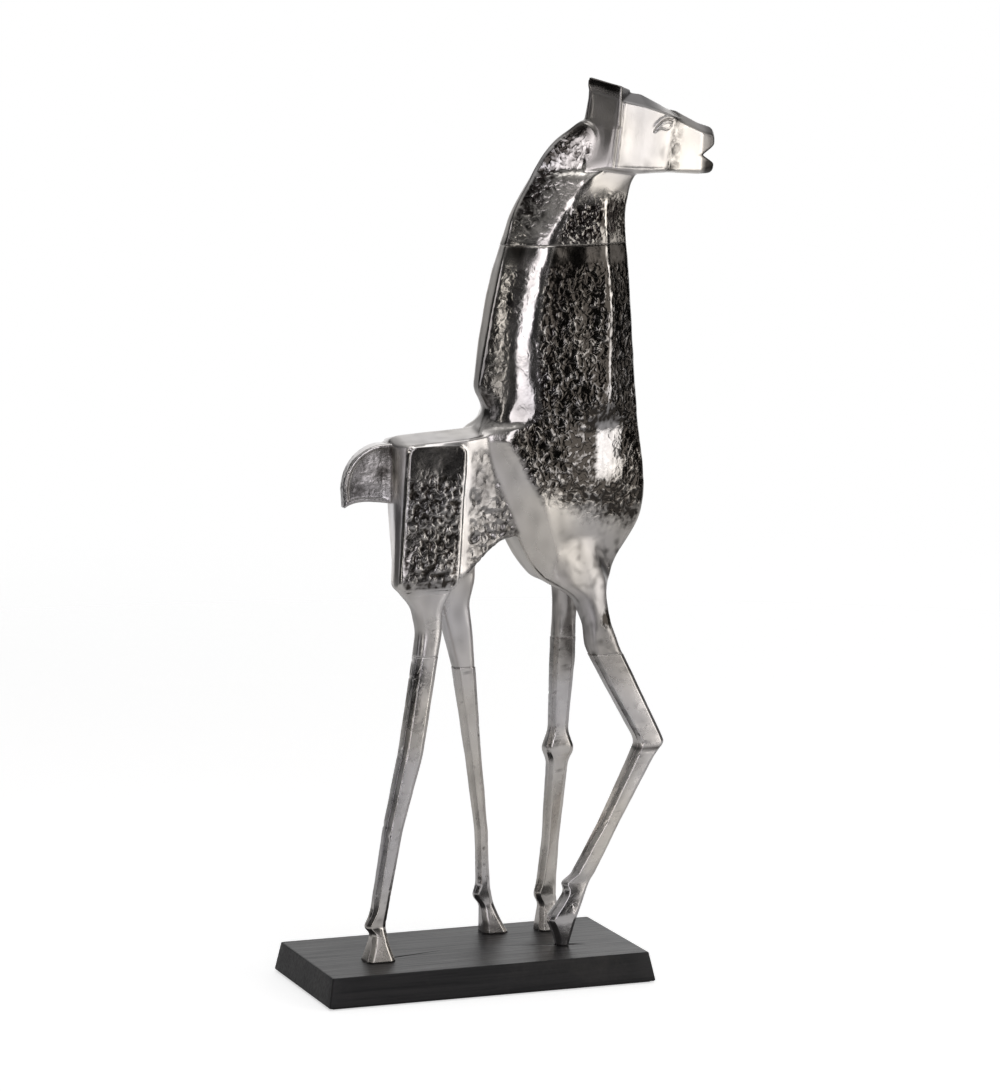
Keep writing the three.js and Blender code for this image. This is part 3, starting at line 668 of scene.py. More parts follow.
body_rough, body_edge, body_pits, body_relief, body_dark = body_marks(body_points)
body_skin = sand_skin(body_points)
deep = np.minimum(noise(body_points, 8.5, 81) + 0.10, 0.0) + 0.5 * np.minimum(noise(body_points, 4.6, 82) + 0.15, 0.0)
breast = step(body_points[:, 0], 30.0, 62.0) * step(LEG_TOP + 142.0 - body_points[:, 2], 0.0, 30.0)
body_height = body_relief * 0.52 * body_skin + 4.2 * body_pits * deep
body_height = body_height + casting_waves(body_points) * (1.0 - 0.65 * breast)
body_height = body_height + np.maximum(body_rough, body_edge) * 0.6 * noise(body_points, 24.0, 83)
body_points = body_points + body_out * (body_height - 0.30)[:, None]
body = piece("body", body_points, body_quads, ["body_casting"], "cast_nickel", {
    "rough": body_rough, "edge": body_edge,
    "patina_and_painted_shade": np.clip((0.8 - 0.4 * body_pits) * np.clip(0.5 - 0.9 * body_skin, 0.0, 1.0) * body_relief + body_dark, 0.0, 1.0),
})

# %% [markdown]
# The head. Its cheek is a flat plate that ends in a small step before the muzzle, with a thin double rim
# behind. The sections run from the cheek's rear edge to the nose, slanted like the jaw, so they are stood
# upright first, as on the barrel. The eye is drawn with a graver: grooves along an almond, and a raised lid.

# %% Head field
# Each row: x of the brow, then the forehead ridge's height, brow half width and height, x, half width and
# height of the jaw corner, half width and height of the underside.
HEAD = np.array([
    [141, 488, 15.5, 480, 131, 20.5, 421, 9, 416], [167, 484, 15, 474, 160, 19.4, 417, 9, 414],
    [192, 471, 14, 466, 182, 17.8, 418, 9, 415], [200, 469, 12, 461, 193, 14.5, 417, 7, 415],
    [222, 458, 11, 451, 220, 12, 416, 5, 413], [238, 453, 5, 446, 237, 5.5, 420, 3, 414],
], float)
MOUTH_CORNER, MOUTH_UPPER, MOUTH_LOWER = (223.0, 430.5), (251.0, 447.0), (251.0, 414.0)
TEMPLE_BACK = 22.0
EAR_TIP, EAR_FRONT = (119.5, 499.5), (153.0, 489.5)
# Line along which the inside of the ears is painted dark: painted shade in their hollow.
EAR_DARK = [(118.0, 498.0), (134.0, 493.0), (148.0, 489.5)]
LID = [(174.5, 452.0), (178.0, 456.5), (182.5, 460.6), (188.0, 462.6), (193.0, 461.2)]
LOWER_LID = [(175.0, 452.5), (180.5, 455.0), (186.0, 453.6), (190.0, 455.0), (192.5, 459.0)]


def head_along(x, z):
    """x along the brow, once the slanted sections are stood upright."""
    up = z - LEG_TOP
    places = []
    for row in HEAD:
        down = np.clip((row[3] - up) / (row[3] - row[6]), -0.3, 1.2)
        places.append(row[0] + (row[4] - row[0]) * down)
    along = HEAD[0, 0] + np.minimum(x - places[0], 0.0)
    for k in range(len(HEAD) - 1):
        share = np.clip((x - places[k]) / (places[k + 1] - places[k]), 0.0, 1.0)
        along = along + share * (HEAD[k + 1, 0] - HEAD[k, 0])
    return along + np.maximum(x - places[-1], 0.0)


def near_line(u, v, line):
    """Distance from points (u, v) to a chain of straight pieces."""
    best = np.full(np.broadcast(u, v).shape, 1e9)
    for (au, av), (bu, bv) in zip(line[:-1], line[1:]):
        length = (bu - au) ** 2 + (bv - av) ** 2
        t = np.clip(((u - au) * (bu - au) + (v - av) * (bv - av)) / length, 0.0, 1.0)
        best = np.minimum(best, np.hypot(u - au - t * (bu - au), v - av - t * (bv - av)))
    return best


def cheek_relief(x, z, along):
    """Rise of the cheek plate: two thin rims behind, a lip along the jaw, a shallow dish and the eye."""
    up = z - LEG_TOP
    rims = 0.9 * np.exp(-((along - 142.6) / 1.3) ** 2) + 0.6 * np.exp(-((along - 147.0) / 0.9) ** 2)
    jaw = 0.6 * np.exp(-((up - 421.5 + 0.05 * (along - 141.0)) / 1.5) ** 2)
    dish = -0.25 * step(along, 146.0, 160.0) * step(190.0 - along, 0.0, 16.0) * step(up, 422.0, 436.0)
    lid = near_line(x, up, LID)
    eye = 0.9 * np.exp(-((lid - 1.9) / 1.2) ** 2) * step(up, 454.0, 460.0) - 1.1 * np.exp(-(lid / 0.8) ** 2)
    eye = eye - 0.55 * np.exp(-(near_line(x, up, LOWER_LID) / 0.75) ** 2)
    plate = step(along, 139.0, 142.0) * step(194.5 - along, 0.0, 1.5)
    return plate * (rims + jaw + dish + eye)


def temple(x, y, z):
    """Distance outside the slanting wall behind the cheek. It falls inwards from the cheek's rear edge,
    hardly at the jaw and steeply at the ear."""
    up = z - LEG_TOP
    half = HEAD[0, 5] + (HEAD[0, 2] - HEAD[0, 5]) * (up - HEAD[0, 6]) / (HEAD[0, 3] - HEAD[0, 6])
    drop = bend(up, [412, 424, 444, 462], [4.5, 6.0, 10.5, 12.5], 6.0)
    return facet(head_along(x, z), np.abs(y), (HEAD[0, 0] - TEMPLE_BACK, half - drop), (HEAD[0, 0], half + 0.4))


def skull(x, y, z):
    """Forehead, cheek, jaw bevel and underside of the upright sections, the temples and the mouth."""
    along = head_along(x, z)
    k = HEAD[:, 0]
    top, brow_half, brow, jaw_half, jaw, under_half, under = [
        bend(along, k, HEAD[:, column_], 1.6) for column_ in (1, 2, 3, 5, 6, 7, 8)]
    side, up = np.abs(y), z - LEG_TOP
    cheek = facet(side, up, (brow_half, brow), (jaw_half, jaw)) - cheek_relief(x, z, along)
    d = both(facet(side, up, (0.0, top), (brow_half, brow)), cheek, 2.0)
    d = both(d, temple(x, y, z), 1.0)
    d = both(d, facet(side, up, (jaw_half, jaw), (under_half, under)), 2.4)
    d = both(d, under - up, 3.0)
    d = both(d, k[0] - TEMPLE_BACK - along, 2.4)
    d = both(d, along - k[-1], 7.0)
    mouth = both(facet(x, up, MOUTH_CORNER, MOUTH_UPPER), facet(x, up, MOUTH_LOWER, MOUTH_CORNER), 1.0)
    return both(d, -mouth, 1.6)


print("eye", round(LID[-1][0] - LID[0][0], 1), "mm long on a cheek", HEAD[2, 0] - HEAD[0, 0], "mm long")

# %% [markdown]
# Ears and the hollow behind the cheek. The two ears are one wedge swept back, with painted shade inside
# them where a scoop would be. The sand core left a smooth hollow between the mane and the cheek, which is
# carved above a ledge, ahead of the mane and outside the temple.


# %% Ears, hollow and the whole head
def ears(x, y, z):
    """The two ears as one wedge: the temples carried up to a sloping top edge."""
    up, side = z - LEG_TOP, np.abs(y)
    rear = EAR_TIP[0] - 2.5 * step(up, 487.0, 499.0) + 1.4 * np.exp(-((up - 478.0) / 8.0) ** 2)
    d = both(temple(x, y, z), facet(x, side, (143.0, 17.0), (154.5, 4.0)), 1.6)
    d = both(d, facet(x, up, EAR_TIP, EAR_FRONT), 1.2)
    d = both(d, rear - x, 1.2)
    return both(d, 455.0 - up, 4.0)


def hollow(x, y, z):
    """Positive in the hollow behind the cheek: outside the temple, above a ledge and ahead of the mane."""
    up = z - LEG_TOP
    ledge = bend(x, [100, 107, 114, 127, 140], [401, 408, 414.5, 419, 422.5], 3.0)
    mane = bend(up, [412, 424, 433, 446, 456, 463], [108, 114, 120, 122.5, 119, 111], 4.0)
    deep = column(x, y, z)
    return either(either(temple(x, y, z), 0.9 * (up - ledge) + 1.2 * deep, 3.0), x - mane + 2.0 * deep, 4.0)


def head_field(x, y, z):
    """Upper neck, skull and ears joined, cut level at the neck weld."""
    neck = both(column(x, y, z), hollow(x, y, z), 1.5)
    d = either(neck, skull(x, y, z), 1.5)
    d = either(d, ears(x, y, z), 1.5)
    return both(d, NECK_WELD - z, 0.4)


head_points, head_quads, head_out = skin(head_field, (34, -34, NECK_WELD - 2), (243, 34, LEG_TOP + 501), 0.95)
print("head casting:", len(head_quads), "quads")


# %% Skin of the head
def head_marks(p):
    """Marks of the head from 0 to 1: roughness, edges and darkening, much of it painted shade. The face and temples are
    smooth.
    """
    x, y, z = p[:, 0], p[:, 1], p[:, 2]
    up = z - LEG_TOP
    wander = 5.0 * noise(p, 15.0, 72)
    mane = 0.75 + 0.25 * noise(p, 22.0, 73)
    patchy = np.clip(0.25 + 0.6 * noise(p, 15.0, 74), 0.04, 1.0) + 0.4 * step(up, 420.0, 440.0)
    throat = step(407.0 - up + wander, 0.0, 26.0)
    in_neck = on_surface(column(x, y, z), 1.0) * step(-hollow(x, y, z), -0.2, 2.2)
    weld = np.exp(-((up - NECK_WELD + LEG_TOP + 4.0) / 9.0) ** 2)
    rough, rubbed = column_marks(p, mane, patchy * mane, throat, throat)
    calm = 0.7 * in_neck * throat * column_marks(p, 0.0, 0.0, 1.0, 1.0)[0]
    rough = in_neck * rough * (1.0 - 0.85 * weld) * step(-hollow(x, y, z) + 0.5 * wander, 0.5, 8.0)
    along = head_along(x, z)
    groove = step(along, 193.0, 196.0) * (1.0 - step(along, 199.0, 207.0)) * step(skull(x, y, z), 1.5, 0.5)
    rough = np.maximum(rough, 0.5 * groove * (1.0 - in_neck))
    lids = np.minimum(near_line(x, up, LID), near_line(x, up, LOWER_LID) + 0.3)
    on_cheek = step(np.abs(y), 12.0, 14.0) * step(along, 165.0, 167.0)
    mouth = both(facet(x, up, MOUTH_CORNER, MOUTH_UPPER), facet(x, up, MOUTH_LOWER, MOUTH_CORNER), 1.0)
    lower_lip = step(x, 219.0, 229.0) * step(427.0 - up, -3.0, 4.0)
    # Painted shade inside the ear, near its top edge; the same place is polished.
    ear = step(153.0 - x, 0.0, 18.0) * (1.0 - step(near_line(x, up, EAR_DARK) + 0.4 * wander, 1.0, 9.0))
    nose = step(x, 224.0, 231.0) * step(skull(x, y, z), 1.5, 0.5)
    rim = np.minimum(np.minimum(along - 142.0, 194.0 - along), up - 420.0)
    # A darker border around the cheek plate, in noisy patches.
    cheek_border_dark = step(along, 139.0, 142.0) * step(195.0 - along, 0.0, 2.0) * (1.0 - step(rim + 2.0 * wander, 0.0, 9.0)) * np.clip(0.5 + noise(p, 8.0, 86), 0.0, 1.0)
    brow = HEAD[0, 3] + (HEAD[2, 3] - HEAD[0, 3]) * (along - HEAD[0, 0]) / (HEAD[2, 0] - HEAD[0, 0])
    forehead = step(up - brow, 0.5, 2.0) * step(along, 140.0, 144.0) * step(200.0 - along, 0.0, 8.0)
    # Darkening: painted shade along the eye's lids, at the mouth's corner, under the lower lip, inside the ear, on the
    # forehead and at the nose; a darker border around the cheek plate; stain on the rough neck, the weld's dark joint,
    # painted shade along the crest's top, patina patches, a painted dark reflection on the calm throat, and painted
    # shade on the throat under the jaw, along the hollow's ledge and behind the cheek.
    marks = [0.6 * on_cheek * (1.0 - step(lids, 0.4, 1.2)), 1.0 - step(mouth, 0.8, 3.6), 1.3 * lower_lip,
             1.3 * ear, 0.42 * forehead, 0.45 * nose, 0.34 * cheek_border_dark, in_neck * rough * 0.2, in_neck * weld * 0.75,
             0.9 * in_neck * step(up + 0.6 * wander, 439.0, 455.0), 0.25 * patina(p), 0.55 * calm,
             0.34 * in_neck * step(up, 396.0, 408.0) * step(x, 112.0, 122.0),
             0.62 * (1.0 - step(np.abs(hollow(x, y, z)), 1.0, 6.0)) * step(up, 416.0, 430.0),
             0.34 * (1.0 - in_neck) * step(143.0 - along, 0.0, 4.0) * step(up, 414.0, 422.0) * step(474.0 - up, 0.0, 40.0)]
    polish = np.maximum(np.maximum(in_neck * np.maximum(rubbed, weld), 0.8 * ear), calm)
    return [np.clip(mark, 0.0, 1.0) for mark in (rough, polish, np.maximum.reduce(marks))]


head_rough, head_edge, head_dark = head_marks(head_points)
head_skin = sand_skin(head_points)
head_relief = head_rough * (1.0 - 0.9 * np.exp(-((head_points[:, 2] - NECK_WELD - 2.0) / 11.0) ** 2))
head_height = 0.34 * head_relief * head_skin + 0.6 * np.maximum(head_rough, head_edge) * noise(head_points, 24.0, 83)
head_height = head_height + 0.6 * casting_waves(head_points)
head_points = head_points + head_out * (head_height - 0.20)[:, None]
head = piece("head", head_points, head_quads, ["head_casting"], "cast_nickel", {
    "rough": head_rough, "edge": head_edge,
    "patina_and_painted_shade": np.maximum(np.clip(0.5 - 0.9 * head_skin, 0.0, 1.0) * head_relief, head_dark),
})

# %% [markdown]
# The tail is a curved blade welded to the rump, thick at the root and dished inside a narrow rim.


# %% Tail
def curve(start, first, second, end, count=14):
    """Points on a cubic curve: the Bernstein sum of its four control points."""
    t = np.linspace(0.0, 1.0, count)[:, None]
    p = [np.array(q, float) for q in (start, first, second, end)]
    return (1 - t) ** 3 * p[0] + 3 * t * (1 - t) ** 2 * p[1] + 3 * t ** 2 * (1 - t) * p[2] + t ** 3 * p[3]


TAIL_OUTLINE = np.vstack([
    [[-46, 189]], curve((-76, 188), (-92, 185), (-107, 172), (-108, 150)),
    curve((-107, 133), (-96, 141), (-82, 138), (-66, 136)), [[-46, 136]],
])


def outline_distance(u, v, outline):
    """Distance outside a closed outline: the nearest side's distance, negative where a ray crosses it oddly."""
    closed = np.vstack([outline, outline[:1]])
    inside = np.zeros(np.broadcast(u, v).shape, bool)
    for (au, av), (bu, bv) in zip(closed[:-1], closed[1:]):
        if av != bv:
            inside ^= ((av > v) != (bv > v)) & (u < (bu - au) * (v - av) / (bv - av) + au)
    return near_line(u, v, closed) * np.where(inside, -1.0, 1.0)


def tail_field(x, y, z):
    """The blade: its outline and its thickness, which grows from 9 mm at the rim to 20 mm at the root."""
    outline = outline_distance(x, z - LEG_TOP, TAIL_OUTLINE)
    thick = 13.0 + 7.0 * step(x, -108.0, -66.0)
    dish = 1.3 * step(-outline, 2.5, 5.0) * step(-62.0 - x, 4.0, 12.0)
    d = both(outline, np.abs(y) - thick / 2 + dish, 2.6)
    return both(d, x + 55.0, 1.0)


tail_points, tail_quads, tail_out = skin(tail_field, (-111, -12, LEG_TOP + 130), (-52, 12, LEG_TOP + 192), 0.9)
tail_height = 0.5 * casting_waves(tail_points) + 0.10 * sand_skin(tail_points, 4.0)
tail_edge = 1.0 - step(-outline_distance(tail_points[:, 0], tail_points[:, 2] - LEG_TOP, TAIL_OUTLINE), 0.6, 3.0)
tail = piece("tail", tail_points + tail_out * (tail_height - 0.15)[:, None], tail_quads, ["tail_casting"],
             "cast_nickel", {"rough": 0.22 + 0 * tail_edge, "edge": tail_edge,
                              "patina_and_painted_shade": np.clip(0.48 + 0.5 * noise(tail_points, 14.0, 84), 0.0, 1.0) * (1.0 - tail_edge)})

# %% [markdown]
# The free legs are single bars, so a plain grid suits them: rings of points, one every 1.3 mm up the leg.
# Each ring starts as eight corners, and each corner is replaced by a short curve that rounds it.


# %% Leg rings
RING_STEPS = 7


def leg_corners(name, z):
    """Eight corners (x, y) of the chamfered rectangle at each height."""
    rear, front, middle, thick = leg_sizes(name, z)
    low, high = middle - thick / 2, middle + thick / 2
    c = np.minimum(CHAMFER, np.minimum(thick, front - rear) * CHAMFER_SHARE)
    corners = [(rear, low + c), (rear + c, low), (front - c, low), (front, low + c),
               (front, high - c), (front - c, high), (rear + c, high), (rear, high - c)]
    return np.stack([np.stack(p, axis=-1) for p in corners], axis=1)


def eased_ring(corners, ease=0.9):
    """Each corner becomes the curve (1-t)^2 A + 2t(1-t) corner + t^2 B, with A and B on its two sides."""
    last, after = np.roll(corners, 1, axis=1), np.roll(corners, -1, axis=1)

    def towards(other):
        run = np.linalg.norm(other - corners, axis=2, keepdims=True)
        return corners + (other - corners) * np.minimum(ease / (run + 1e-9), 0.45)

    t = np.linspace(0.0, 1.0, RING_STEPS)[None, None, :, None]
    a, b = towards(last)[:, :, None], towards(after)[:, :, None]
    ring = (1 - t) ** 2 * a + 2 * t * (1 - t) * corners[:, :, None] + t ** 2 * b
    middle = (b[:, :, 0] + np.roll(a, -1, axis=1)[:, :, 0]) / 2
    ring = np.concatenate([ring, middle[:, :, None]], axis=2)
    return ring.reshape(len(corners), -1, 2)


def grid_faces(rows, columns):
    """Quads of a grid whose columns close into rings."""
    i, j = np.meshgrid(np.arange(rows - 1), np.arange(columns), indexing="ij")
    n = (j + 1) % columns
    return np.stack([i * columns + j, i * columns + n, (i + 1) * columns + n, (i + 1) * columns + j], axis=2).reshape(-1, 4)


def outward(points, rows, columns):
    """Outward direction at each point of a closed grid: the cross product of its two tangents."""
    p = points.reshape(rows, columns, 3)
    around = np.roll(p, -1, axis=1) - np.roll(p, 1, axis=1)
    upward = np.gradient(p, axis=0)
    n = np.cross(around, upward).reshape(-1, 3)
    return n / (np.linalg.norm(n, axis=1)[:, None] + 1e-9)


def free_leg(name):
    """A leg from the plinth to its weld, with hammered waves, small pits and closed ends."""
    top = LEG_WELD[name] + 0.2
    z = np.linspace(0.3, top, int(round((top - 0.3) / 1.3)))
    rings = eased_ring(leg_corners(name, z))
    rows, columns = rings.shape[:2]
    p = np.concatenate([rings, np.broadcast_to(z[:, None, None], (rows, columns, 1))], axis=2).reshape(-1, 3)
    out = outward(p, rows, columns)
    pits = np.minimum(noise(p, 3.2, 91) + 0.42, 0.0) * step(noise(p, 26.0, 92), 0.0, 0.3)
    skin_height = 0.08 * sand_skin(p, 4.4) * step(noise(p, 30.0, 93), -0.2, 0.4)
    height = 0.30 * noise(p, 22.0, 94) + 0.10 * noise(p, 9.0, 95) + 1.4 * pits + skin_height
    edge = np.tile([0.2, 0.6, 1.0, 1.0, 1.0, 0.6, 0.2, 0.1], 8)[None, :].repeat(rows, axis=0).reshape(-1)
    p = p + out * (height - 0.15)[:, None] * step(p[:, 2], 0.3, 6.0)[:, None]
    faces = grid_faces(rows, columns)
    ends = []
    for row in (0, rows - 1):
        ring = np.arange(columns) + row * columns
        ends.append((p[ring].mean(axis=0), ring))
    points = np.vstack([p, [e[0] for e in ends]])
    caps = []
    for number, (_, ring) in enumerate(ends):
        centre = np.full(columns // 2, len(p) + number)
        a, b, c = ring[0::2], ring[1::2], np.roll(ring, -2)[0::2]
        quad = np.stack([centre, a, b, c], axis=1)
        caps.append(quad[:, ::-1] if number == 0 else quad)
    faces = np.vstack([faces] + caps)
    rear = leg_sizes(name, p[:, 2])[0]
    worn = step(p[:, 2], 184.0, 236.0) * step(rear + 7.0 - p[:, 0], -2.0, 2.0) if name == "hind_right" else 0.0
    worn = worn * np.clip(0.75 + 0.5 * noise(p, 9.0, 76), 0.0, 1.0) * step(top - p[:, 2], 0.0, 14.0)
    z = p[:, 2]
    knee = np.exp(-((z - KNEE + 9.0) / 9.0) ** 2) if name == "front_left" else 0.0
    bend_line = 0.8 * np.exp(-((z - KNEE + 6.0) / 1.8) ** 2) if name == "front_right" else 0.0
    hoof = 0.85 * (1.0 - step(z, 20.0, 30.0)) if name != "front_right" else 0.0
    low = (1.0 - step(z + 9.0 * noise(p, 13.0, 87), 44.0, 62.0)) * (1.0 - hoof)
    polish = np.maximum(np.maximum(edge * (1.0 - hoof), 0.9 * knee), 0.85 * low)
    low_dark = 0.45 * (1.0 - step(z, 40.0, 70.0)) * np.clip(noise(p, 8.0, 88) + 0.2, 0.0, 1.0) * (1.0 - 0.8 * hoof)
    # Painted shade at the top of the front legs.
    high_dark = painted_breast_shade(p) * step(z, 214.0, 258.0)
    pad = lambda values: np.append(values, [0.0, 0.0])
    return piece("cast_leg_" + name, points, faces, ["leg_" + name], "cast_nickel",
                 {"rough": pad(0.16 * step(noise(p, 24.0, 96), 0.1, 0.5) + 0.5 * worn), "edge": pad(polish),
                  "patina_and_painted_shade": pad(patina(p) - pits * 1.2 + 0.4 * worn + bend_line + low_dark + high_dark)})


legs = {name: free_leg(name) for name in LEGS}

# %% [markdown]
# Weld beads. A bead is a short stack of overlapping ripples around a joint, ground nearly flush. Here it is
# a tube: an oval profile carried along the joint's outline, a little higher and lower as it goes. The
# outline is found by walking out from the middle of the joint until the field changes sign.


# %% Weld beads
def outline_at(field, centre, axis_u, axis_v, count=160, reach=110.0):
    """Points where rays from the centre leave the field, found by halving the interval 30 times."""
    turn = np.linspace(0.0, 2 * np.pi, count, endpoint=False)
    ray = np.cos(turn)[:, None] * axis_u + np.sin(turn)[:, None] * axis_v
    near, far = np.zeros(count), np.full(count, reach)
    for _ in range(30):
        half = (near + far) / 2
        q = centre + ray * half[:, None]
        out = field(q[:, 0], q[:, 1], q[:, 2]) > 0
        near, far = np.where(out, near, half), np.where(out, half, far)
    return centre + ray * near[:, None]


def bead(name, path, across, half_height, proud, node, stain=0.3):
    """An oval tube along a closed path: half_height along the joint's normal, proud of the metal outwards."""
    count, sides = len(path), 10
    gap = np.linalg.norm(np.roll(path, -1, axis=0) - path, axis=1)
    run = np.r_[0.0, np.cumsum(gap)[:-1]]
    even = np.linspace(0.0, gap.sum(), count, endpoint=False)
    closed = np.vstack([path, path[:1]])
    path = np.stack([np.interp(even, np.r_[run, gap.sum()], closed[:, a]) for a in range(3)], axis=1)
    tangent = np.roll(path, -1, axis=0) - np.roll(path, 1, axis=0)
    out = np.cross(tangent, across)
    out = out / np.linalg.norm(out, axis=1)[:, None]
    centre = path.mean(axis=0)
    out = out * np.sign(np.einsum("ij,ij->i", out, path - centre).sum())
    ripple = 0.22 * np.abs(np.sin(even * np.pi / 2.7)) + 0.25 * noise(path, 7.0, 97)
    turn = np.linspace(0.0, 2 * np.pi, sides, endpoint=False)
    rise = (1.2 + proud * (0.6 + ripple))[:, None] * np.cos(turn) - 1.2
    spread = half_height * (1.0 + 0.15 * noise(path, 5.0, 98))[:, None] * np.sin(turn)
    points = path[:, None] + out[:, None] * rise[..., None] + np.asarray(across) * spread[..., None]
    i, j = np.meshgrid(np.arange(count), np.arange(sides), indexing="ij")
    n, m = (i + 1) % count, (j + 1) % sides
    faces = np.stack([i * sides + j, n * sides + j, n * sides + m, i * sides + m], axis=2).reshape(-1, 4)
    zero = np.zeros(count * sides)
    return piece(name, points.reshape(-1, 3), faces, [node], "weld_nickel",
                 {"rough": zero + stain, "edge": zero, "patina_and_painted_shade": zero + 0.4 * stain})


UP = np.array([0.0, 0.0, 1.0])
FORWARD, LEFT = np.array([1.0, 0.0, 0.0]), np.array([0.0, 1.0, 0.0])
beads = [bead("neck_bead", outline_at(column, np.array([95.0, 0.0, NECK_WELD]), FORWARD, LEFT, 300),
              UP, WELD_HEIGHT / 2, -0.90, "weld_neck", 0.95)]
for name, level in LEG_WELD.items():
    middle = [float(v) for v in leg_sizes(name, np.array(level))]
    hub = np.array([(middle[0] + middle[1]) / 2, middle[2], level])
    ring = outline_at(lambda x, y, z, leg=name: leg_field(leg, x, y, z), hub, FORWARD, LEFT, 90, 40.0)
    beads.append(bead("bead_" + name, ring, UP, WELD_HEIGHT / 2, -0.70, "weld_leg_" + name, 0.2))


# %% Tail bead
def tail_joint():
    """The blade's own outline at the rump, laid on the rump's rear face by halving along x."""
    hub = np.array([-70.0, 0.0, LEG_TOP + 162.5])
    ring = outline_at(tail_field, hub, LEFT, UP, 110, 40.0)
    near, far = np.full(len(ring), -90.0), np.full(len(ring), -40.0)
    for _ in range(26):
        half = (near + far) / 2
        out = barrel(half, ring[:, 1], ring[:, 2]) > 0
        near, far = np.where(out, half, near), np.where(out, far, half)
    return np.stack([near - 1.4, ring[:, 1], ring[:, 2]], axis=1)


beads.append(bead("tail_bead", tail_joint(), FORWARD, 2.4, 0.5, "weld_tail"))

# %% [markdown]
# The plinth is one board with slightly sloping sides, stained black and lacquered. Its edges are eased by
# hand, so its outline has small round corners, and the sloping side turns into the top over a soft edge.
# Wells underneath take the washers and screws. Felt is glued below, four millimetres in from the edge.

# %% Plinth
PLINTH_LENGTH, PLINTH_WIDTH, PLINTH_LOW, TAPER = 300.0, 158.0, 1.5, 4.4
SCREWS = {"hind_right": (-87.0, -32.0, 5.0, 9.0), "hind_left": (44.0, 38.0, 5.0, 9.0),
          "front_left": (94.0, 31.0, 5.0, 9.0), "front_right": (83.5, -32.0, 4.0, 7.5)}
WELL_ROOM, WELL_DEPTH, CLEARANCE = 3.6, 8.0, 0.3


def board_outline(inwards, radius, corner_steps=6, side_steps=14):
    """A rectangle with round corners: quarter circles at the corners and even points along the sides."""
    x, y = PLINTH_LENGTH / 2 - inwards, PLINTH_WIDTH / 2 - inwards
    parts = []
    for quarter, (sx, sy) in enumerate([(1, 1), (-1, 1), (-1, -1), (1, -1)]):
        turn = np.linspace(0.0, np.pi / 2, corner_steps) + quarter * np.pi / 2
        arc = np.stack([sx * (x - radius) + radius * np.cos(turn), sy * (y - radius) + radius * np.sin(turn)], axis=1)
        parts.append(arc)
    points = np.vstack(parts)
    after = np.roll(points, -1, axis=0)
    long_side = np.linalg.norm(after - points, axis=1) > 20.0
    rows = []
    for p, q, split in zip(points, after, long_side):
        rows.append(p[None])
        if split:
            rows.append(p + (q - p) * (np.arange(1, side_steps) / side_steps)[:, None])
    return np.vstack(rows)


def board():
    """Rings of the outline up the sloping side and over the eased edges, closed with fans of quads."""
    ease = 1.3
    arc = np.linspace(0.0, np.pi / 2, 5)
    low = [(ease * (1 - np.sin(a)), PLINTH_LOW + ease * (1 - np.cos(a))) for a in arc]
    side = [(TAPER * t, PLINTH_LOW + ease + (PLINTH_TOP - PLINTH_LOW - 2 * ease) * t) for t in np.linspace(0, 1, 6)[1:-1]]
    high = [(TAPER + ease * (1 - np.cos(a)), PLINTH_TOP - ease + ease * np.sin(a)) for a in arc]
    inner = [(TAPER + ease + 0.8, PLINTH_TOP), (TAPER + ease + 8.0, PLINTH_TOP), (TAPER + ease + 40.0, PLINTH_TOP)]
    foot = [(ease + 8.0, PLINTH_LOW), (ease + 0.8, PLINTH_LOW)]
    levels = foot + low + side + high + inner
    rings = [np.column_stack([board_outline(i, min(1.6, 1.6)), np.full(len(board_outline(0, 1.6)), z)]) for i, z in levels]
    columns = len(rings[0])
    points = np.vstack(rings)
    faces = grid_faces(len(rings), columns)
    caps = []
    for number, (row, turn) in enumerate([(0, True), (len(rings) - 1, False)]):
        ring = np.arange(columns) + row * columns
        points = np.vstack([points, rings[row].mean(axis=0)])
        centre = np.full(columns // 2, len(points) - 1)
        quad = np.stack([centre, ring[0::2], ring[1::2], np.roll(ring, -2)[0::2]], axis=1)
        caps.append(quad[:, ::-1] if turn else quad)
    return points, np.vstack([faces] + caps)


board_points, board_quads = board()
plinth = piece("plinth_board", board_points / 1000.0, board_quads, ["plinth"], "black_wood", metres=True)


# %% Wells for the screws
def cut(target, cutters):
    """Boolean difference with each cutter, applied, and the cutters removed."""
    for cutter in cutters:
        modifier = target.modifiers.new("cut", "BOOLEAN")
        modifier.operation, modifier.solver, modifier.object = "DIFFERENCE", "EXACT", cutter
    mesh = bpy.data.meshes.new_from_object(target.evaluated_get(bpy.context.evaluated_depsgraph_get()))
    target.modifiers.clear()
    target.data = mesh
    for cutter in cutters:
        bpy.data.objects.remove(cutter)


def round_bar(x, y, diameter, low, high):
    """An upright round bar in frame millimetres, as a loose object for cutting."""
    turn = np.linspace(0.0, 2 * np.pi, 32, endpoint=False)
    ring = np.column_stack([x + diameter / 2 * np.cos(turn), y + diameter / 2 * np.sin(turn)])
    points = np.vstack([np.column_stack([ring, np.full(32, level)]) for level in (low, high)]) / 1000.0
    sides = grid_faces(2, 32).tolist()
    mesh = bpy.data.meshes.new("cutter")
    mesh.from_pydata(points.tolist(), [], sides + [list(range(31, -1, -1)), list(range(32, 64))])
    obj = bpy.data.objects.new("cutter", mesh)
    bpy.context.scene.collection.objects.link(obj)
    return obj


cutters = []
for x, y, shank, head_width in SCREWS.values():
    cutters.append(round_bar(x, y + HORSE_Y, head_width + WELL_ROOM, -1.0, PLINTH_LOW + WELL_DEPTH))
    cutters.append(round_bar(x, y + HORSE_Y, shank + 2 * CLEARANCE, -1.0, PLINTH_TOP + 1.0))
cut(plinth, cutters)
print("plinth board:", len(plinth.data.polygons), "faces after cutting", len(cutters), "holes")

# %% Felt sheet
FELT_LENGTH, FELT_WIDTH, FELT_THICK = 292.0, 150.0, 1.2


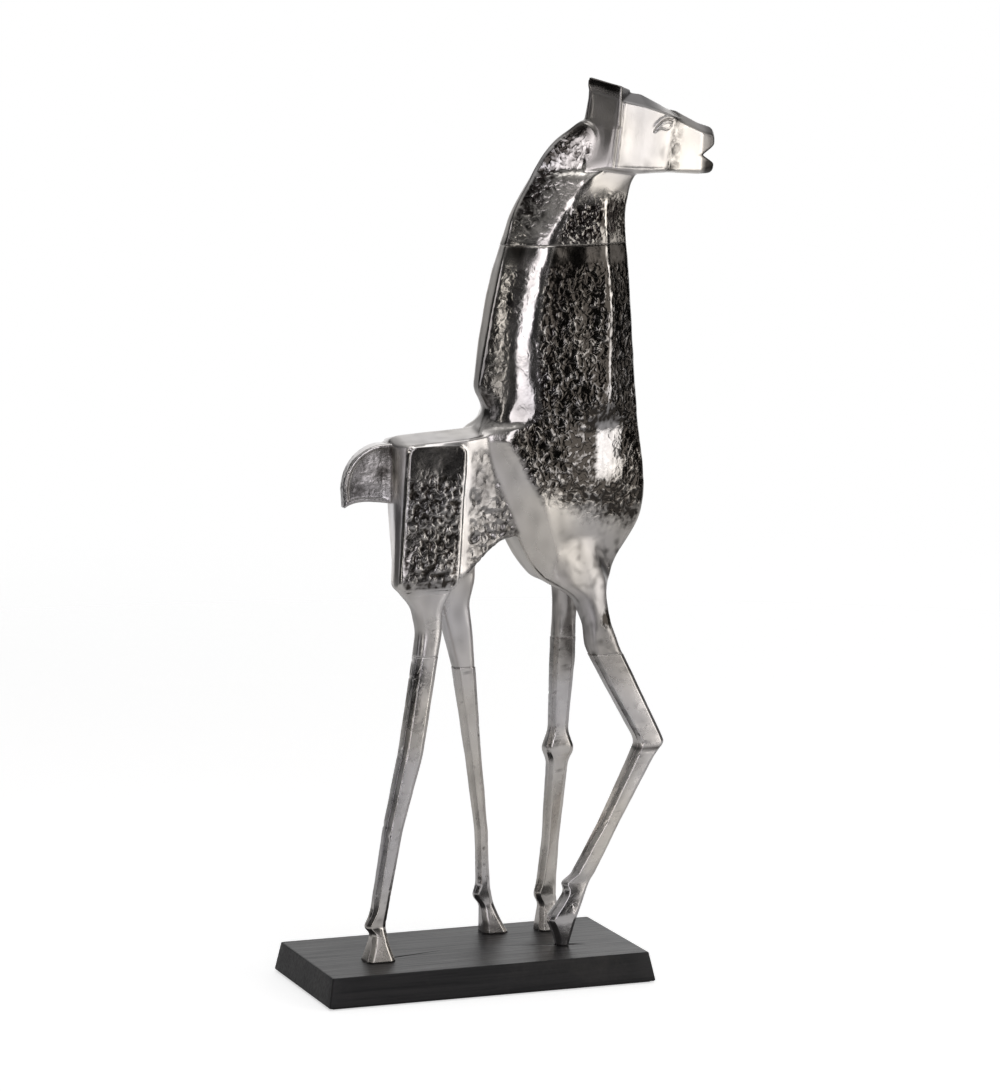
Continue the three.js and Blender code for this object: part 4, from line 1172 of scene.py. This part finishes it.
def felt_sheet():
    """A level sheet on a 2 mm grid, its top and bottom joined by a round rim: the thickness falls to a
    third at the rim as a half circle does, and the height wanders a little, as pressed fibre does."""
    u = np.linspace(-1, 1, 147)
    v = np.linspace(-1, 1, 76)
    grid_u, grid_v = np.meshgrid(u, v, indexing="ij")
    x, y = grid_u * FELT_LENGTH / 2, grid_v * FELT_WIDTH / 2
    rim = np.minimum(FELT_LENGTH / 2 - np.abs(x), FELT_WIDTH / 2 - np.abs(y))
    thin = 0.35 + 0.65 * np.sqrt(np.clip(rim / 1.5, 0.0, 1.0))
    flat = np.stack([x, y, 0 * x], axis=2).reshape(-1, 3)
    nap = (0.03 * noise(flat, 3.0, 99)).reshape(x.shape) - 0.03
    half = FELT_THICK / 2 * thin
    top = np.stack([x, y, FELT_THICK / 2 + half + nap], axis=2).reshape(-1, 3)
    bottom = np.stack([x, y, FELT_THICK / 2 - half - 0 * nap], axis=2).reshape(-1, 3)
    i, j = np.meshgrid(np.arange(146), np.arange(75), indexing="ij")
    a = (i * 76 + j).reshape(-1)
    quads = np.stack([a, a + 76, a + 77, a + 1], axis=1)
    below = quads[:, ::-1] + len(top)
    rim_ring = np.concatenate([np.arange(0, 146 * 76, 76), 146 * 76 + np.arange(75),
                               np.arange(146, 0, -1) * 76 + 75, np.arange(75, 0, -1)])
    nxt = np.roll(rim_ring, -1)
    wall = np.stack([rim_ring, rim_ring + len(top), nxt + len(top), nxt], axis=1)
    return np.vstack([top, bottom]), np.vstack([quads, below, wall])


felt_points, felt_quads = felt_sheet()
felt = piece("felt_pad", felt_points / 1000.0, felt_quads, ["felt_sheet"], "black_felt", metres=True)

# %% [markdown]
# Finishes. A helper lays out nodes, so that each finish below reads as a short recipe. The grain of the
# cast metal, the drift of its colour and the streaks of the wood are node groups: they give out only
# numbers and heights, and each finish uses them with its own values.


# %% Node helpers
def add(tree, kind, **values):
    """A node of a kind. Names with an underscore set properties, the rest set inputs by name."""
    made = tree.nodes.new(kind)
    for name, value in values.items():
        if name.startswith("p_"):
            setattr(made, name[2:], value)
        else:
            made.inputs[name.replace("_", " ")].default_value = value
    return made


def calc(tree, operation, a, b=None, clamp=False):
    """A Math node on sockets or plain numbers, giving its output socket."""
    made = tree.nodes.new("ShaderNodeMath")
    made.operation, made.use_clamp = operation, clamp
    for index, value in enumerate((a, b)):
        if isinstance(value, (int, float)):
            made.inputs[index].default_value = value
        elif value is not None:
            tree.links.new(value, made.inputs[index])
    return made.outputs[0]


def blend(tree, factor, first, second):
    """A colour Mix node, from first to second as factor goes from 0 to 1."""
    made = tree.nodes.new("ShaderNodeMix")
    made.data_type = "RGBA"
    for index, value in ((0, factor), (6, first), (7, second)):
        if isinstance(value, (tuple, float, int)):
            made.inputs[index].default_value = value
        else:
            tree.links.new(value, made.inputs[index])
    return made.outputs[2]


def spread(tree, value, low, high, to_low=0.0, to_high=1.0):
    """Map Range with a smooth step from low..high to to_low..to_high."""
    made = add(tree, "ShaderNodeMapRange", p_interpolation_type="SMOOTHSTEP")
    for name, number in (("From Min", low), ("From Max", high), ("To Min", to_low), ("To Max", to_high)):
        made.inputs[name].default_value = number
    tree.links.new(value, made.inputs["Value"])
    return made.outputs["Result"]


def group(name, inputs, outputs):
    """An empty shader node group with named float or vector sockets."""
    tree = bpy.data.node_groups.new(name, "ShaderNodeTree")
    for label, kind, value in inputs:
        socket = tree.interface.new_socket(label, in_out="INPUT", socket_type=kind)
        if value is not None:
            socket.default_value = value
    for label in outputs:
        tree.interface.new_socket(label, in_out="OUTPUT", socket_type="NodeSocketFloat")
    return tree, tree.nodes.new("NodeGroupInput"), tree.nodes.new("NodeGroupOutput")


print("node helpers ready")

# %% Cast skin group
cast_skin, skin_in, skin_out = group(
    "cast_skin", [("Vector", "NodeSocketVector", None), ("Scale", "NodeSocketFloat", 380.0)], ["Height", "Blotch", "Drift"])
curl = add(cast_skin, "ShaderNodeTexNoise", Detail=1.6, Roughness=0.5, Distortion=0.8)
cast_skin.links.new(skin_in.outputs["Vector"], curl.inputs["Vector"])
cast_skin.links.new(skin_in.outputs["Scale"], curl.inputs["Scale"])
dimple = add(cast_skin, "ShaderNodeTexVoronoi", p_feature="SMOOTH_F1", Smoothness=0.6)
cast_skin.links.new(skin_in.outputs["Vector"], dimple.inputs["Vector"])
cast_skin.links.new(calc(cast_skin, "MULTIPLY", skin_in.outputs["Scale"], 1.3), dimple.inputs["Scale"])
worms = spread(cast_skin, curl.outputs["Fac"], 0.36, 0.64)
mixed = calc(cast_skin, "ADD", calc(cast_skin, "MULTIPLY", worms, 0.62),
             calc(cast_skin, "MULTIPLY", dimple.outputs["Distance"], 0.30))
cast_skin.links.new(mixed, skin_out.inputs["Height"])
blotch = add(cast_skin, "ShaderNodeTexNoise", Scale=46.0, Detail=4.0, Roughness=0.6)
cast_skin.links.new(skin_in.outputs["Vector"], blotch.inputs["Vector"])
cast_skin.links.new(spread(cast_skin, blotch.outputs["Fac"], 0.35, 0.68), skin_out.inputs["Blotch"])
drift = add(cast_skin, "ShaderNodeTexNoise", Scale=11.0, Detail=1.0)
cast_skin.links.new(skin_in.outputs["Vector"], drift.inputs["Vector"])
cast_skin.links.new(spread(cast_skin, drift.outputs["Fac"], 0.3, 0.7), skin_out.inputs["Drift"])
print("cast_skin gives", [s.name for s in skin_out.inputs][:-1])

# %% [markdown]
# Nickel over cast aluminium. The plating is a slightly warm white metal. It is bright and smooth where the
# grinder and the buff reached, satin on the legs, and in the hollows of the sand's skin it keeps a dark
# patina. The same dark colour is also painted on as shade and as dark reflections in some places. The marks
# on each point say where all that is.

# %% Nickel
NICKEL_WARM, NICKEL_COOL = (0.80, 0.755, 0.70, 1.0), (0.71, 0.69, 0.70, 1.0)
# A dark colour for the patina in the skin's hollows, also used for painted shade and dark reflections.
PATINA_AND_SHADE = (0.052, 0.046, 0.041, 1.0)


def nickel(name, satin=0.31, polished=0.14, wrinkled=0.13, fine_scale=160.0, fine_depth=0.00038):
    """Plated cast metal: satin, polished and wrinkled are the roughness of the three kinds of surface."""
    material = bpy.data.materials.new(name)
    material.use_nodes = True
    tree = material.node_tree
    shader = tree.nodes["Principled BSDF"]
    shader.inputs["Metallic"].default_value = 1.0
    place = add(tree, "ShaderNodeTexCoord").outputs["Object"]
    mark = {key: add(tree, "ShaderNodeAttribute", p_attribute_name=key).outputs["Fac"] for key in ("rough", "edge", "patina_and_painted_shade")}
    skin_node = tree.nodes.new("ShaderNodeGroup")
    skin_node.node_tree = cast_skin
    skin_node.inputs["Scale"].default_value = fine_scale
    tree.links.new(place, skin_node.inputs["Vector"])
    height, blotches, drifts = [skin_node.outputs[key] for key in ("Height", "Blotch", "Drift")]
    metal = blend(tree, drifts, NICKEL_WARM, NICKEL_COOL)
    low_fine = spread(tree, height, 0.62, 0.15)
    # Darker base colour: rough metal, most in the low parts of its fine skin, as patina, plus the dark mark, which
    # holds patina and painted shade.
    stain_and_shade = calc(tree, "MULTIPLY", mark["rough"], calc(tree, "ADD", 0.24, calc(tree, "MULTIPLY", low_fine, 0.42)))
    stain_and_shade = calc(tree, "ADD", stain_and_shade, calc(tree, "MULTIPLY", mark["patina_and_painted_shade"], 0.95))
    stain_and_shade = calc(tree, "ADD", stain_and_shade, calc(tree, "MULTIPLY", calc(tree, "MULTIPLY", mark["rough"], blotches), 0.18), clamp=True)
    tree.links.new(blend(tree, stain_and_shade, metal, PATINA_AND_SHADE), shader.inputs["Base Color"])
    plain = calc(tree, "ADD", satin - 0.03, calc(tree, "MULTIPLY", blotches, 0.06))
    plain = calc(tree, "SUBTRACT", plain, calc(tree, "MULTIPLY", mark["edge"], satin - polished))
    plain = calc(tree, "MULTIPLY", plain, calc(tree, "SUBTRACT", 1.0, mark["rough"]))
    tree.links.new(calc(tree, "ADD", plain, calc(tree, "MULTIPLY", mark["rough"], wrinkled)), shader.inputs["Roughness"])
    bump = add(tree, "ShaderNodeBump", Distance=fine_depth, Strength=1.0)
    depth = calc(tree, "MULTIPLY", height, calc(tree, "ADD", mark["rough"], 0.06))
    tree.links.new(depth, bump.inputs["Height"])
    tree.links.new(bump.outputs["Normal"], shader.inputs["Normal"])
    return material


cast_nickel = nickel("cast_nickel")
weld_nickel = nickel("weld_nickel", satin=0.36, fine_scale=700.0, fine_depth=0.0001)
for name, obj in pieces.items():
    if obj["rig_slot"] in ("cast_nickel", "weld_nickel"):
        obj.data.materials.append({"cast_nickel": cast_nickel, "weld_nickel": weld_nickel}[obj["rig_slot"]])

# %% [markdown]
# Black wood. The board is stained so dark that its grain shows only as fine streaks along its length in the
# satin lacquer, under a few dull smudges. The streaks are noise pulled out along x.

# %% Wood streaks group
streaks, streak_in, streak_out = group(
    "wood_streaks", [("Vector", "NodeSocketVector", None), ("Fineness", "NodeSocketFloat", 1.0)], ["Streak"])
stretch = add(streaks, "ShaderNodeMapping")
stretch.inputs["Scale"].default_value = (9.0, 420.0, 300.0)
streaks.links.new(streak_in.outputs["Vector"], stretch.inputs["Vector"])
line = add(streaks, "ShaderNodeTexNoise", Detail=4.0, Roughness=0.65)
streaks.links.new(stretch.outputs["Vector"], line.inputs["Vector"])
streaks.links.new(streak_in.outputs["Fineness"], line.inputs["Scale"])
streaks.links.new(spread(streaks, line.outputs["Fac"], 0.32, 0.70), streak_out.inputs["Streak"])


# %% Black wood
def black_wood():
    """Stained and lacquered board: dark colour, dull smudges, streaks in colour, roughness and height."""
    material = bpy.data.materials.new("black_wood")
    material.use_nodes = True
    tree = material.node_tree
    shader = tree.nodes["Principled BSDF"]
    shader.inputs["Specular IOR Level"].default_value = 0.30
    place = add(tree, "ShaderNodeTexCoord").outputs["Object"]
    grain = tree.nodes.new("ShaderNodeGroup")
    grain.node_tree = streaks
    tree.links.new(place, grain.inputs["Vector"])
    base = blend(tree, grain.outputs["Streak"], (0.006, 0.006, 0.007, 1.0), (0.014, 0.013, 0.014, 1.0))
    smudge = add(tree, "ShaderNodeTexNoise", Scale=14.0, Detail=6.0, Roughness=0.7)
    tree.links.new(place, smudge.inputs["Vector"])
    base = blend(tree, spread(tree, smudge.outputs["Fac"], 0.48, 0.75, 0.0, 0.7), base, (0.034, 0.031, 0.029, 1.0))
    tree.links.new(base, shader.inputs["Base Color"])
    tree.links.new(calc(tree, "ADD", 0.32, calc(tree, "MULTIPLY", grain.outputs["Streak"], 0.16)), shader.inputs["Roughness"])
    bump = add(tree, "ShaderNodeBump", Distance=0.00006, Strength=1.0)
    tree.links.new(grain.outputs["Streak"], bump.inputs["Height"])
    tree.links.new(bump.outputs["Normal"], shader.inputs["Normal"])
    return material


plinth.data.materials.clear()
plinth.data.materials.append(black_wood())


# %% Felt and zinc
def black_felt():
    """Pressed fibre: near black, fully rough, with a fine fuzz in its height and a soft sheen."""
    material = bpy.data.materials.new("black_felt")
    material.use_nodes = True
    tree = material.node_tree
    shader = tree.nodes["Principled BSDF"]
    shader.inputs["Roughness"].default_value = 1.0
    shader.inputs["Sheen Weight"].default_value = 0.3
    fuzz = add(tree, "ShaderNodeTexNoise", Scale=2200.0, Detail=3.0)
    tree.links.new(add(tree, "ShaderNodeTexCoord").outputs["Object"], fuzz.inputs["Vector"])
    tree.links.new(blend(tree, fuzz.outputs["Fac"], (0.006, 0.006, 0.006, 1.0), (0.022, 0.022, 0.023, 1.0)), shader.inputs["Base Color"])
    bump = add(tree, "ShaderNodeBump", Distance=0.0002, Strength=0.6)
    tree.links.new(fuzz.outputs["Fac"], bump.inputs["Height"])
    tree.links.new(bump.outputs["Normal"], shader.inputs["Normal"])
    return material


def zinc_steel():
    """Zinc-plated screws: a grey metal with a blotchy, slightly blue film."""
    material = bpy.data.materials.new("zinc_steel")
    material.use_nodes = True
    tree = material.node_tree
    shader = tree.nodes["Principled BSDF"]
    shader.inputs["Metallic"].default_value = 1.0
    film = add(tree, "ShaderNodeTexNoise", Scale=300.0, Detail=3.0)
    tree.links.new(add(tree, "ShaderNodeTexCoord").outputs["Object"], film.inputs["Vector"])
    tree.links.new(blend(tree, film.outputs["Fac"], (0.52, 0.55, 0.60, 1.0), (0.66, 0.66, 0.64, 1.0)), shader.inputs["Base Color"])
    tree.links.new(spread(tree, film.outputs["Fac"], 0.3, 0.7, 0.28, 0.42), shader.inputs["Roughness"])
    return material


felt.data.materials.append(black_felt())
zinc = zinc_steel()
for name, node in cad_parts.items():
    if name.startswith(("screw", "washer")):
        node.data.materials.clear()
        node.data.materials.append(zinc)
print("zinc on", sum(n.startswith(("screw", "washer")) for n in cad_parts), "fasteners")

# %% [markdown]
# The room. A pale floor fades into a white world, so there is no horizon line. Metal shows only what is
# around it, so the world holds what a photographer's room would: white paper behind and above, and a dim
# room behind the camera that makes the broad side of the horse dark.

# %% Floor
FLOOR_RADIUS = 3.2
turn = np.linspace(0.0, 2 * np.pi, 96, endpoint=False)
radii = np.linspace(0.05, 1.0, 16) * FLOOR_RADIUS
disc = np.stack([radii[:, None] * np.cos(turn), radii[:, None] * np.sin(turn), np.zeros((16, 96))], axis=2).reshape(-1, 3)
floor_mesh = bpy.data.meshes.new("floor")
floor_mesh.from_pydata(disc.tolist(), [], grid_faces(16, 96).tolist() + [list(range(96))])
floor = bpy.data.objects.new("floor", floor_mesh)
bpy.context.scene.collection.objects.link(floor)

floor_paint = bpy.data.materials.new("pale_floor")
floor_paint.use_nodes = True
tree = floor_paint.node_tree
paint = tree.nodes["Principled BSDF"]
paint.inputs["Base Color"].default_value = (0.80, 0.80, 0.80, 1.0)
paint.inputs["Roughness"].default_value = 0.9
paint.inputs["Specular IOR Level"].default_value = 0.1
paint.inputs["Emission Color"].default_value = (1.0, 1.0, 1.0, 1.0)
rays = add(tree, "ShaderNodeLightPath").outputs
tree.links.new(calc(tree, "MULTIPLY", rays["Is Camera Ray"], 0.6), paint.inputs["Emission Strength"])
reach = add(tree, "ShaderNodeVectorMath", p_operation="LENGTH")
tree.links.new(add(tree, "ShaderNodeTexCoord").outputs["Object"], reach.inputs[0])
tree.links.new(spread(tree, reach.outputs["Value"], FLOOR_RADIUS * 0.9, FLOOR_RADIUS * 0.25), paint.inputs["Alpha"])
floor.data.materials.append(floor_paint)

# %% World
world = bpy.data.worlds.new("studio")
bpy.context.scene.world = world
world.use_nodes = True
tree = world.node_tree
background = tree.nodes["Background"]
direction = add(tree, "ShaderNodeTexCoord").outputs["Generated"]
parts = add(tree, "ShaderNodeSeparateXYZ")
tree.links.new(direction, parts.inputs[0])


def towards(vector):
    """How far a direction points the way of a fixed one: their dot product."""
    dot = add(tree, "ShaderNodeVectorMath", p_operation="DOT_PRODUCT")
    tree.links.new(direction, dot.inputs[0])
    dot.inputs[1].default_value = vector
    return dot.outputs["Value"]


overhead = spread(tree, parts.outputs["Z"], 0.30, 0.90, 0.0, 0.42)
paper = spread(tree, towards((0.34, 0.94, 0.0)), 0.70, 0.97)
room = calc(tree, "ADD", 0.02, calc(tree, "MAXIMUM", overhead, paper), clamp=True)
rays = add(tree, "ShaderNodeLightPath").outputs
seen = calc(tree, "ADD", rays["Is Glossy Ray"], rays["Is Transmission Ray"])
seen = calc(tree, "ADD", rays["Is Camera Ray"], calc(tree, "MULTIPLY", seen, paper), clamp=True)
tree.links.new(blend(tree, seen, room, (1.0, 1.0, 1.0, 1.0)), background.inputs["Color"])
background.inputs["Strength"].default_value = 1.0


# %% Softboxes
def softbox(name, azimuth, elevation, width, height, radiance, tint=(1.0, 1.0, 1.0)):
    """A rectangular lamp three metres from the horse. Its power is the radiance times its area times pi."""
    a, e = math.radians(azimuth), math.radians(elevation)
    away = np.array([math.sin(a) * math.cos(e), -math.cos(a) * math.cos(e), math.sin(e)])
    data = bpy.data.lights.new(name, "AREA")
    data.shape, data.size, data.size_y = "RECTANGLE", width, height
    data.energy, data.color = radiance * width * height * math.pi, tint
    obj = bpy.data.objects.new(name, data)
    obj.location = np.array([0.05, 0.0, 0.42]) + away * 3.0
    obj.rotation_euler = (math.pi / 2 - e, 0.0, a)
    obj.visible_camera = False
    bpy.context.scene.collection.objects.link(obj)
    return obj


COOL, WARM = (0.97, 0.95, 1.0), (1.0, 0.975, 0.94)
softboxes = [
    softbox("front_box", -7, 12, 1.12, 1.9, 2.1, COOL),
    softbox("right_box", 43, 5, 1.95, 2.2, 1.85, WARM),
    softbox("right_edge", 84, 8, 0.5, 1.6, 1.2, WARM),
    softbox("top", 10, 78, 1.9, 1.9, 1.3),
    softbox("left_strip", -52, 8, 0.5, 1.6, 2.1, WARM),
    softbox("left_back", -104, 10, 1.0, 1.6, 0.65, COOL),
    softbox("back_strip", 150, 14, 0.5, 1.6, 1.2),
]
print("softboxes:", {s.name: round(s.data.energy, 1) for s in softboxes}, "watts")

# %% [markdown]
# The end. The view is plain, so a colour renders about as it is written.

# %% Finish
bpy.context.scene.view_settings.view_transform = "Standard"
bpy.context.view_layer.update()
